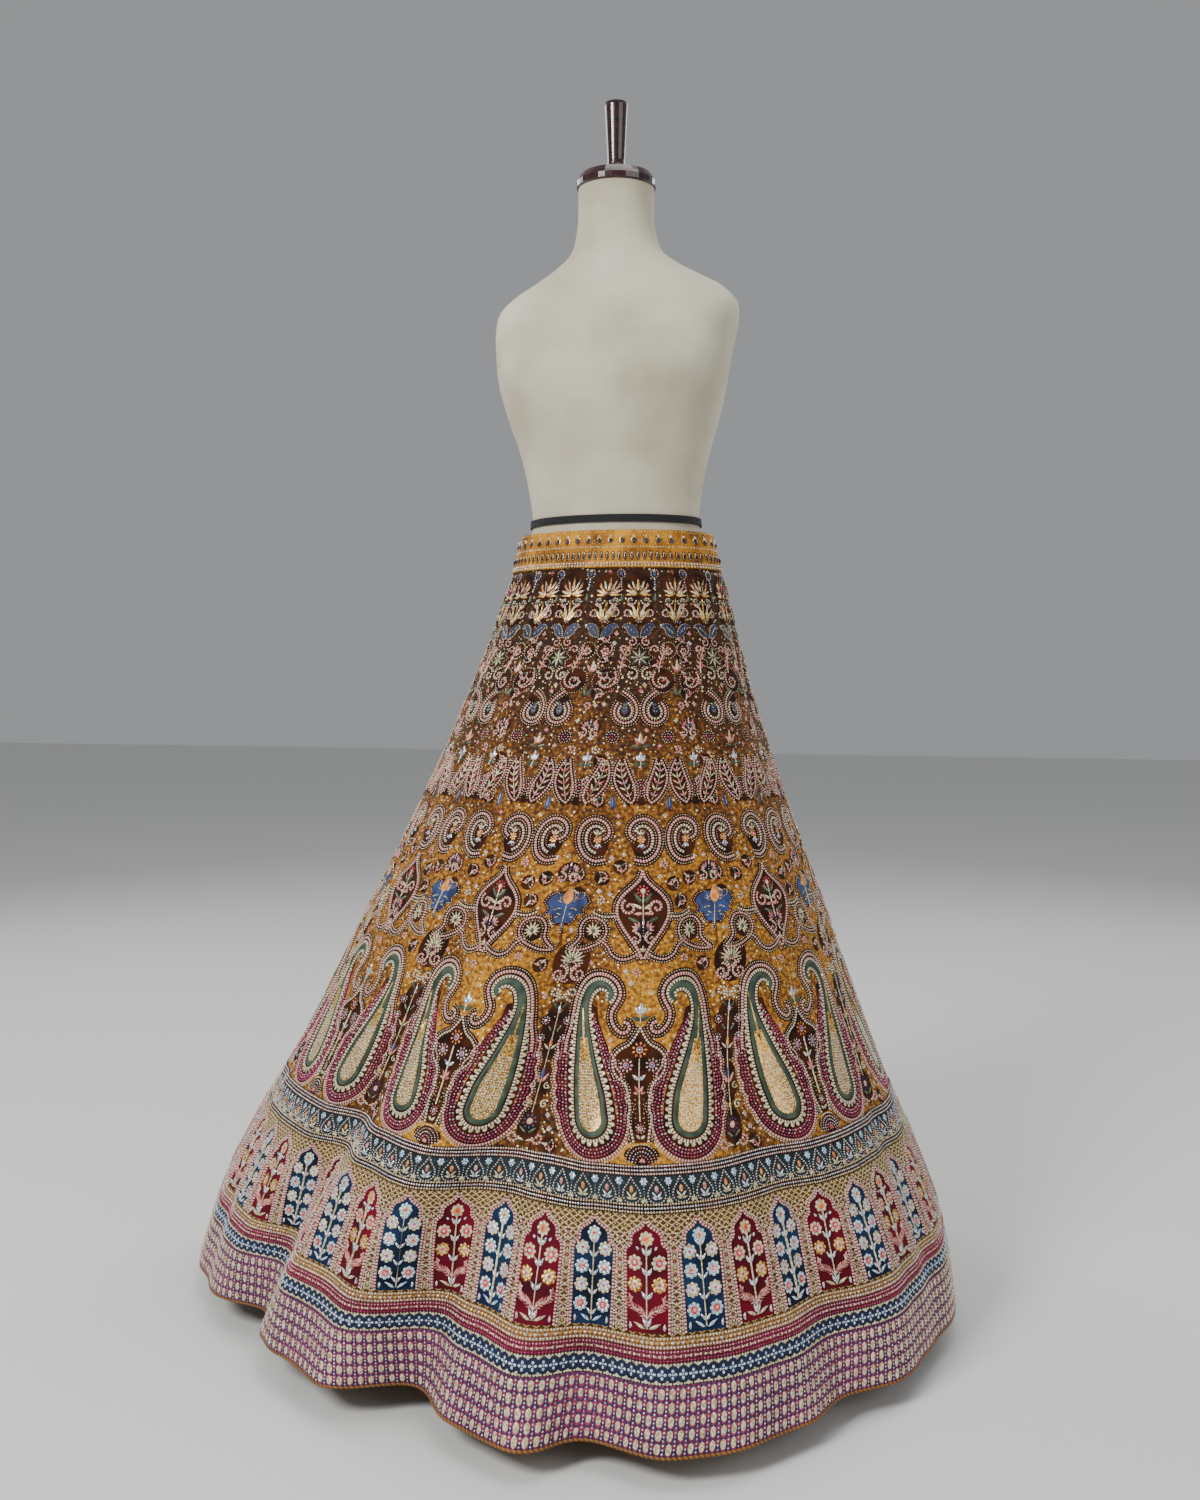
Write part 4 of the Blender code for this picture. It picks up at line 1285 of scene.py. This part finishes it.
def sprinkle(work):
    """Fills what is bare with small curls, blossoms, buds and beads, the largest that fits each gap."""
    chance = np.random.default_rng(5)
    taken = work.covered(1.5)
    for width, tries in SPRINKLE_KINDS:
        for rise, place, turn in chance.random((tries, 3)):
            height = SPRINKLE_LOW + rise * (SPRINKLE_HIGH - SPRINKLE_LOW)
            x = (place * 2 - 1) * (half_panel(height) - width * 0.6)
            near = taken[(abs(taken[:, 1] - height) < width + 3) & (abs(taken[:, 0] - x) < width + 3)]
            if len(near) and np.hypot(*(near - (x, height)).T).min() < width + SPRINKLE_CLEAR:
                continue
            if width > 8:
                work.ground(x, height, width * 2, width * 2)
                for number in range(3):
                    work.leaf((GREEN, CREAM, PINK)[number], x, height, width, 4.0, turn * 360 + number * 120)
                work.curl(PINK_CORD, x, height, width * 1.7, turn * 360, 0.95, 1 if turn > 0.5 else -1, 2.8)
            elif width > 5:
                work.curl(PINK_CORD if turn > 0.4 else CREAM_CORD, x, height, width * 1.7, turn * 360, 1.2,
                          1 if place > 0.5 else -1, 2.6)
                work.disc(MAGENTA if turn > 0.6 else GOLD, x, height, 2.6, 2.4)
            elif width > 3:
                tone = (PEARL, CREAM, PINK)[int(turn * 3)]
                work.blossom(x, height, ((4.4, tone), (2.0, CORAL if turn > 0.5 else BLUE)), 4, tone)
            else:
                work.disc((CREAM, GOLD, CREAM)[int(turn * 3)], x, height, 2.5, 1.6)
            edge = (x, height) + arc(0, 0, width * 0.8, width * 0.8, 0, 350, 1.5)
            taken = np.concatenate([taken, edge, edge * 0.5 + np.array([[x, height]]) * 0.5, [(x, height)]])


drawing = panel_drawing()
sprinkle(drawing)
drawing = drawing.done("panel_needlework")
for kali in range(KALIS):
    sew(f"kali_{kali + 1:02d}_needlework", drawing, [kali])

# ---- Borders: rings of velvet sewn round the skirt over the panels, from the teal band of drops down through
# the fifty arches, the braid, the maroon and navy strips and the deep hem border to the corded edge.

BORDER_COLUMNS = 40
Border = namedtuple("Border", "node low high rows finish slot")
BORDER_OUT = SEAM + TRIM


def border_finish(name, colour, sheen, roughness=0.75):
    """A velvet whose pile shows darker and lighter patches, partly painted sheen."""
    made = Finish(name, colour, roughness, Sheen_Weight=0.05, Sheen_Roughness=0.35, Sheen_Tint=(*sheen, 1),
                  Specular_IOR_Level=0.3)
    nap_and_painted_sheen = made.noise(16, made.place(layer="cut"), 3.0)
    dark, light = (tuple(channel * share for channel in colour) for share in (0.6, 1.5))
    return made, made.ramp(nap_and_painted_sheen, (0.30, dark), (0.75, light))


COLUMNS = 300


def ring_axes(made):
    ring = made.place(layer="ring")
    return made.axis(ring, "X"), made.axis(ring, "Y")


teal, ground = border_finish("teal_velvet", (0.008, 0.018, 0.022), (0.35, 0.75, 0.75))
stitch = teal.dots(260, teal.place(layer="cut"))
teal.set("Base Color", teal.mix((stitch < 0.18) * 0.5, ground, (0.10, 0.22, 0.22)))
lattice, ground = border_finish("gold_lattice", (0.085, 0.032, 0.006), (1.0, 0.8, 0.5))
turn, rise = ring_axes(lattice)
turn, rise = turn * (COLUMNS / KALIS), rise * (1 / 0.0062)
crossing = lattice.line(turn + rise, 0.11).math("MAXIMUM", lattice.line(turn - rise, 0.11))
lattice.set("Base Color", lattice.mix(crossing * 0.9, ground, (0.62, 0.46, 0.20)))
lattice.set("Metallic", crossing * 0.3)
lattice.bump(crossing, 0.0006)
braid, ground = border_finish("gold_braid", (0.16, 0.055, 0.010), (1.0, 0.8, 0.5), 0.55)
turn, rise = ring_axes(braid)
ply = braid.line(turn * (COLUMNS / KALIS * 2) + rise * 160, 0.2)
braid.set("Base Color", braid.mix(ply * 0.6, ground, (0.42, 0.22, 0.06)))
braid.bump(ply, 0.0005)
maroon, ground = border_finish("maroon_velvet", (0.12, 0.006, 0.022), (1.0, 0.3, 0.45))
maroon.set("Base Color", ground)
navy, ground = border_finish("navy_velvet", (0.010, 0.016, 0.045), (0.3, 0.5, 1.0))
navy.set("Base Color", ground)
mauve, ground = border_finish("mauve_velvet", (0.22, 0.030, 0.075), (1.0, 0.6, 0.85))
turn, rise = ring_axes(mauve)
turn, rise = turn * (COLUMNS / KALIS), rise * (1 / 0.0125)
across, up = turn.math("FRACT") - 0.5, rise.math("FRACT") - 0.5
reach = (across * across + up * up * 1.1).math("SQRT")
oval = (reach > 0.30) * (reach < 0.47)
mauve.set("Base Color", mauve.mix(oval * 0.9, ground, (0.020, 0.016, 0.085)))
mauve.bump(oval, 0.0006)

BORDERS = [
    Border("hem_piping", 0.0, 0.00300, 1, braid, "gold_braid"),
    Border("teal_border", 0.22530, 0.27415, 6, teal, "teal_velvet"),
    Border("arch_border", 0.11130, 0.22500, 12, lattice, "gold_lattice"),
    Border("gold_braid", 0.09930, 0.11100, 2, braid, "gold_braid"),
    Border("maroon_border", 0.08730, 0.09900, 2, maroon, "maroon_velvet"),
    Border("navy_border", 0.06730, 0.08700, 3, navy, "navy_velvet"),
    Border("hem_border", 0.00315, 0.06700, 8, mauve, "mauve_velvet"),
]
for border in BORDERS:
    mesh = cloth_grid(border.low, border.high, BORDER_COLUMNS, border.rows, range(KALIS), 0, BORDER_OUT)
    ring = make_object(f"{border.node}_cloth", mesh, border.finish)
    thicken(ring, TRIM if border.low else PIPING)
    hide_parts(border.node)
    if border.node != "hem_piping":
        girth = float(panel_width((border.low + border.high) / 2)) * KALIS
        edging = ["hem_piping_cloth"] if border.node == "hem_border" else []
        border.high - border.low

# ---- Teal band: a hundred pearl drops in a row, each with a bud over a cup of leaves, between lines of
# beads. A small pale blue blossom on a stem stands between one drop and the next.

TEAL_DROPS, TEAL_LEVEL = 100, 0.25
IRIS = needle_finish("iridescent_sequins", (0.20, 0.48, 0.62), 0.22, 0.4, (0.92, 0.93, 0.80), 700.0)


def bead_rows(work, pitch, share, width, height, *rows):
    """Rows of beads across one unit, share of them to its pitch, that run on into the next unit."""
    row = np.array([(-pitch / 2, 0), (pitch / 2 - pitch / share, 0)])
    for at, finish in rows:
        work.beads(finish, row + (0, at), pitch / share, width, height)


def teal_drop(bud, cup):
    work = Needlework()
    half_pitch = panel_width(TEAL_LEVEL) / MM / 20
    across = np.linspace(-half_pitch, half_pitch, 6)
    for band in ((225.4, 236.2), (262.6, 273.9)):
        low, high = (np.stack([across, np.full(len(across), edge)], axis=1) for edge in band)
        work.fill(BROWN_GROUND_AND_SHADOW, low, high, strips=2)
    edge = trace([(0, 261), (-3.5, 255.5), (-8, 249), (-9.4, 243), (-6.4, 237.6), (0, 235.6), (6.4, 237.6),
                  (9.4, 243), (8, 249), (3.5, 255.5)], 2.9, closed=True)
    work.beads(PEARL, edge, 2.9, 2.3, 1.8, closed=True)
    work.disc(bud, 0, 249.5, 4.6, 2.4, 8.5)
    for side in (-1, 1):
        work.leaves(0, side, (cup, 0, 240.5, 8.5, 3.0, 38), (cup, 0, 239.5, 6.5, 2.4, 72),
                    (CREAM, 13.2, 240, 6.5, 2.2, 150))
    pitch = panel_width(TEAL_LEVEL) / MM / 10
    work.blossom(pitch / 2, 257.5, ((6.2, SILVER), (3.6, ICE), (1.8, BLUE)), 6, ICE)
    work.beads(SILVER, np.array([(pitch / 2, 253), (pitch / 2, 242)]), 2.9, 1.6)
    work.fan(CREAM, pitch / 2, 236.5, 6, 1.8, 90, 130, 5)
    bead_rows(work, pitch, 9, 3.5, 1.8, (272.3, PEARL), (268.5, SILVER), (264.7, PEARL), (234.4, CREAM),
              (230.7, SILVER), (227.0, CREAM))
    return work


for number, (bud, cup) in enumerate(((ORANGE, CREAM), (PINK, SILVER))):
    drawing = teal_drop(bud, cup).done(f"teal_drop_{number + 1}")
    sew(f"teal_needlework_{number + 1}", drawing, range(number, TEAL_DROPS, 2), TEAL_DROPS, BORDER_OUT)

# ---- Arches: fifty pointed velvet arches, maroon and navy in turn, each with a flowering plant in sequins
# and silk. Narrow columns of pearls stand between them, with beads on the lattice above.

ARCHES, ARCH_FOOT, LATTICE_LEVEL = 50, 113.5, 0.21
ARCH_HALF = [(22.5, 0), (22.5, 74), (21.2, 79), (16.6, 81.5), (15.6, 85), (16.0, 89), (13.2, 94), (8.0, 97),
             (4.0, 99.5), (0, 106)]


def arch(ground, plant):
    work = Needlework()
    edge = even(np.array(ARCH_HALF, float), 3.0) + (0, ARCH_FOOT)
    other = mirrored(edge)
    work.fill(ground, other, edge, 0.6)
    work.level = 0.7
    for side, path in ((-1, other), (1, edge)):
        work.cord(PINK_CORD, path, 2.8, 2.0)
        work.beads(PEARL, beside(path, -side * 2.7), 2.8, 2.3, 1.8)
    work.cord(CREAM, ((0, ARCH_FOOT + 4), (0, ARCH_FOOT + 84)), 1.6, 2.2)
    plant(work)
    return work


def sequin_flower(work, x, height, width, rim, petals, eye):
    height += ARCH_FOOT
    for number in range(8):
        turn = tau * number / 8
        work.disc(rim, x + width * 0.36 * cos(turn), height + width * 0.36 * sin(turn), width * 0.33, 1.5,
                  sides=5)
    work.blossom(x, height, ((width * 0.66, petals), (width * 0.30, eye)))


def leaf_pair(work, height, length, lean, width=4.0):
    for side in (-1, 1):
        work.leaf(SILVER, 0, ARCH_FOOT + height, length, width, 90 - side * lean, 2.0)


def maroon_plant(work):
    sequin_flower(work, 0, 88, 15, CREAM, ORANGE, CORAL)
    leaf_pair(work, 72, 9.5, 34)
    for side in (-1, 1):
        work.disc(SILVER, side * 9.5, ARCH_FOOT + 79, 3.0, 2.2, 4.6, -side * 40)
        sequin_flower(work, side * 12.6, 65, 15.5, CREAM, CORAL, ICE)
        sequin_flower(work, side * 12.6, 44.5, 15.5, GOLD, CREAM, CORAL)
        spray = trace(at_side([(0, 14), (6, 20), (12.5, 22), (17, 27), (15.5, 33)], side, 0, ARCH_FOOT), 3)
        work.cord(PEARL, spray, 2.0, 2.0)
        for point in spray[1:-1]:
            for lean in (40, -40):
                work.leaf(PINK, *point, 6.0, 2.2, 90 - side * (62 + lean), 2.0)
        work.leaf(CREAM, side * 2, ARCH_FOOT + 4, 13, 3.6, 90 - side * 66, 2.0)
        work.leaf(SILVER, side * 17.5, ARCH_FOOT + 2.5, 6.5, 3.6, 90, 2.0)
    for height, length, lean in ((53, 9.5, 34), (31, 9.5, 38), (5, 11, 24)):
        leaf_pair(work, height, length, lean)


def navy_plant(work):
    sequin_flower(work, 0, 89, 15, IRIS, CREAM, CORAL)
    for height, rim, petals, eye in ((74, CREAM, ICE, CORAL), (56, IRIS, ROSE, GOLD), (38, CREAM, ICE, CORAL),
                                     (19.5, IRIS, CORAL, CREAM)):
        for side in (-1, 1):
            sequin_flower(work, side * 12.3, height, 15, rim, petals, eye)
    for height in (79, 65, 47, 28, 9):
        leaf_pair(work, height, 8.5, 40, 3.4)
    for side in (-1, 1):
        work.leaf(SILVER, side * 17.5, ARCH_FOOT + 2.5, 6.5, 3.6, 90, 2.0)
        work.leaf(ICE, side * 1.5, ARCH_FOOT + 3, 12, 3.2, 90 - side * 58, 2.0)


def arch_velvet(name, colour, sheen, tint, dark, light):
    """A plain velvet with a low sheen, darker and lighter in its pile: its dark and light tones are painted
    shade and painted light.
    """
    made = Finish(name, colour, 0.8, Sheen_Weight=sheen, Sheen_Roughness=0.35, Sheen_Tint=(*tint, 1),
                  Specular_IOR_Level=0.2)
    made.set("Base Color", made.ramp(made.noise(22, made.place(), 2.0), (0.3, dark), (0.7, light)))
    return made


# The dark and light tones below are the velvets' shaded and lit tones, painted as patches.
arch_maroon = arch_velvet("arch_maroon_velvet", (0.1, 0.001, 0.010), 0.06, (1.0, 0.08, 0.16),
                          (0.038, 0.0001, 0.004), (0.17, 0.0004, 0.014))
arch_navy = arch_velvet("arch_navy_velvet", (0.01, 0.03, 0.08), 0.08, (0.15, 0.45, 1.0),
                        (0.0012, 0.0025, 0.009), (0.007, 0.030, 0.085))
ARCH_KINDS = (("maroon", arch_maroon, maroon_plant), ("navy", arch_navy, navy_plant))
for number, (name, ground, plant) in enumerate(ARCH_KINDS):
    drawing = arch(ground, plant).done(f"{name}_arch_flat")
    sew(f"{name}_arches", drawing, range(number, ARCHES, 2), ARCHES, BORDER_OUT)


def arch_column():
    """What stands between two arches, with its middle at x 0, and the lattice beads above it."""
    work = Needlework()
    for side in (-1, 1):
        work.beads(PEARL, np.array([(side * 3.1, 115), (side * 3.1, 206)], float), 3.2, 2.4, 1.8)
    for number in range(8):
        height = 118 + number * 11.2
        work.disc(CREAM, 0, height, 3.6, 1.6, 5.0, 0, 3)
        work.disc(MAGENTA, 0, height + 5.4, 2.4, 1.6, 4.0)
    half = panel_width(LATTICE_LEVEL) / MM / 10
    for row in range(7):
        height = 198 + row * 4.1
        for step in range(-5, 6):
            x = (step + (row % 2) / 2) * 5.1
            gap = half - abs(x)
            clear = np.interp(height - ARCH_FOOT, (74, 84, 104), (22, 15, 0)) + 6
            if gap > clear and abs(x) < half:
                work.disc(CREAM, x, height, 2.3, 1.6)
    return work


sew("arch_columns", arch_column().done("arch_column_flat"), [number + 0.5 for number in range(ARCHES)],
    ARCHES, BORDER_OUT)

# ---- Hem strips: a gold braid of two bead lines, a maroon strip of stones, a navy strip of white clusters
# between scallops, and the deep mauve border with its columns of cream ovals. Each is sewn on its own ring.


def braid_unit(pitch):
    work = Needlework()
    bead_rows(work, pitch, 3, 3.1, 1.9, (101.3, PEARL), (109.3, CREAM))
    work.disc(SILVER, 0, 105.3, 3.0, 1.6, 4.6, 90, 6)
    work.disc(GOLD, pitch / 2, 105.3, 3.0, 1.6, 4.6, 90, 6)
    return work


def maroon_unit(pitch):
    work = Needlework()
    bead_rows(work, pitch, 3, 2.5, 1.6, (89.0, MAGENTA), (97.2, ROSE))
    for turn in (90, 270):
        work.disc(PEARL, (turn - 180) / 90 * pitch / 4, 93.0, 4.2, 1.5, 4.8, turn, 3)
    work.disc(MAGENTA, 0, 93.0, 1.6, 1.7, 5.2)
    work.disc(GOLD, pitch / 2, 93.0, 2.6, 1.9)
    return work


def navy_unit(pitch):
    work = Needlework()
    for turn in range(4):
        angle = tau * turn / 4
        work.disc(ICE, 2.9 * cos(angle), 77 + 3.1 * sin(angle), 3.3, 1.6, 4.0, degrees(angle) + 90)
    work.disc(SILVER, 0, 77, 2.1, 2.0)
    for height, turn in ((69.4, 0), (84.8, 180)):
        work.disc(CREAM, pitch / 2, height, 10.6, 1.2, 5.4, turn, 3)
    bead_rows(work, pitch, 3, 2.8, 1.6, (68.6, CREAM), (85.9, CREAM))
    return work


def hem_unit(pitch):
    work = Needlework()
    for row in range(5):
        height = 9.6 + row * 12.5
        work.disc(CREAM, 0, height, 6.8, 1.6, 11.4, 0, 8)
        work.disc(ORANGE, 0, height, 2.5, 2.2, 5.6, 0, 6)
        work.disc(PEARL, 0, height, 1.2, 2.7, 3.0, 0, 4)
    for height in np.arange(5.4, 66, 3.9):
        work.disc(SILVER, pitch / 2, height, 2.5, 1.5)
    return work


HEM_STRIPS = (("gold_braid", 0.105, braid_unit), ("maroon_border", 0.093, maroon_unit),
              ("navy_border", 0.077, navy_unit), ("hem_border", 0.035, hem_unit))
for name, slant, unit in HEM_STRIPS:
    drawing = unit(panel_width(slant) / MM * KALIS / COLUMNS).done(f"{name}_flat")
    sew(f"{name}_needlework", drawing, range(COLUMNS), COLUMNS, BORDER_OUT)

# ---- Waistband beadwork: drops with blue and white stones in a row along the top, a line of beads, a row of
# ovals, and a line of pearls along the foot.

BAND_UNITS = 46


def band_unit(pitch):
    work = Needlework()
    work.disc(BROWN_GROUND_AND_SHADOW, 0, 35.8, 13.4, 0.8, 15.5, 0, 8)
    work.disc(GOLD, 0, 36.0, 9.6, 1.8, 12.6, 0, 8)
    work.disc(BROWN_GROUND_AND_SHADOW, 0, 35.4, 6.4, 2.0, 8.6, 0, 8, base=0.3)
    work.disc(BLUE, 0, 34.8, 4.6, 2.6, 5.6, 0, 6, base=0.6)
    work.disc(SILVER, 0, 40.6, 2.6, 2.6, 3.4, base=0.6)
    for side in (-1, 1):
        work.disc(BROWN_GROUND_AND_SHADOW, side * pitch / 4, 15, 7.2, 0.9, 16.5, 0, 8)
        work.disc(CREAM, side * pitch / 4, 15, 4.6, 1.6, 13.0, 0, 8)
        work.disc(BROWN_GROUND_AND_SHADOW, side * pitch / 4, 14.6, 2.8, 2.2, 9.0, 0, 6, base=0.3)
    bead_rows(work, pitch, 4, 2.6, 1.8, (46.6, GOLD), (26.6, CREAM))
    bead_rows(work, pitch, 4, 3.2, 1.8, (5.6, PEARL), (2.2, CREAM))
    return work


def lay_on_band_share(flat, place, count):
    """Puts a share of the waistband's drawing on it, x along it and s up from its foot, in metres."""
    x, rise, out = flat.T
    turn = BAND_START + (place + 0.5 + x * count / BAND_GIRTH) / count * BAND_SWEEP
    return lay_on_band(np.stack([turn, BAND_FOOT + rise, out], axis=1))


sew("waistband_needlework", band_unit(BAND_GIRTH / MM / BAND_UNITS).done("waistband_flat"), range(BAND_UNITS),
    BAND_UNITS, 0.0, lay_on_band_share)

# ---- Floor, light and camera: a plain pale floor, soft light from both sides and above, and the camera at
# the height of the form's hips, two metres in front and a little to its left.

FLOOR_SIZE, LAMP_AIM = 14.0, 0.7
mesh = bmesh.new()
bmesh.ops.create_grid(mesh, x_segments=1, y_segments=1, size=FLOOR_SIZE)
data = bpy.data.meshes.new("floor")
mesh.to_mesh(data)
mesh.free()
floor = bpy.data.objects.new("floor", data)
bpy.context.scene.collection.objects.link(floor)
floor_finish = Finish("pale_floor", (0.80, 0.80, 0.78), 0.9)
data.materials.append(floor_finish.material)

AZIMUTH = radians(17)
TOWARD = Vector((sin(AZIMUTH), -cos(AZIMUTH), 0))
RIGHT = Vector((cos(AZIMUTH), sin(AZIMUTH), 0))


def lamp(name, side, height, away, size, power):
    """A soft square lamp that faces the skirt, placed to the side of the camera's line."""
    light = bpy.data.lights.new(name, "AREA")
    light.size = size
    light.energy = power
    made = bpy.data.objects.new(name, light)
    made.location = RIGHT * side + TOWARD * away + Vector((0, 0, height))
    made.rotation_euler = (Vector((0, 0, LAMP_AIM)) - made.location).to_track_quat("-Z", "Y").to_euler()
    bpy.context.scene.collection.objects.link(made)


lamp("key_light", -1.9, 2.6, 2.4, 1.0, 104)
lamp("fill_light", 2.4, 1.6, 2.2, 2.0, 22)
lamp("top_light", 0.3, 3.6, 0.2, 1.8, 30)
lamp("back_left_light", -2.2, 2.4, -2.2, 1.6, 30)
lamp("back_right_light", 2.2, 2.4, -2.2, 1.6, 30)
world = bpy.data.worlds.new("studio")
world.use_nodes = True
world.node_tree.nodes["Background"].inputs["Color"].default_value = (0.95, 0.97, 1.0, 1)
world.node_tree.nodes["Background"].inputs["Strength"].default_value = 0.33
bpy.context.scene.world = world

CAMERA_AWAY, CAMERA_HEIGHT, CAMERA_SIDE = 2.006, 0.80, -0.022
camera = bpy.data.cameras.new("camera")
camera.lens = 35.67
camera.shift_y = -0.0467
eye = bpy.data.objects.new("camera", camera)
eye.location = TOWARD * CAMERA_AWAY + RIGHT * CAMERA_SIDE + Vector((0, 0, CAMERA_HEIGHT))
eye.rotation_euler = (pi / 2, 0, AZIMUTH)
bpy.context.scene.collection.objects.link(eye)
bpy.context.scene.camera = eye
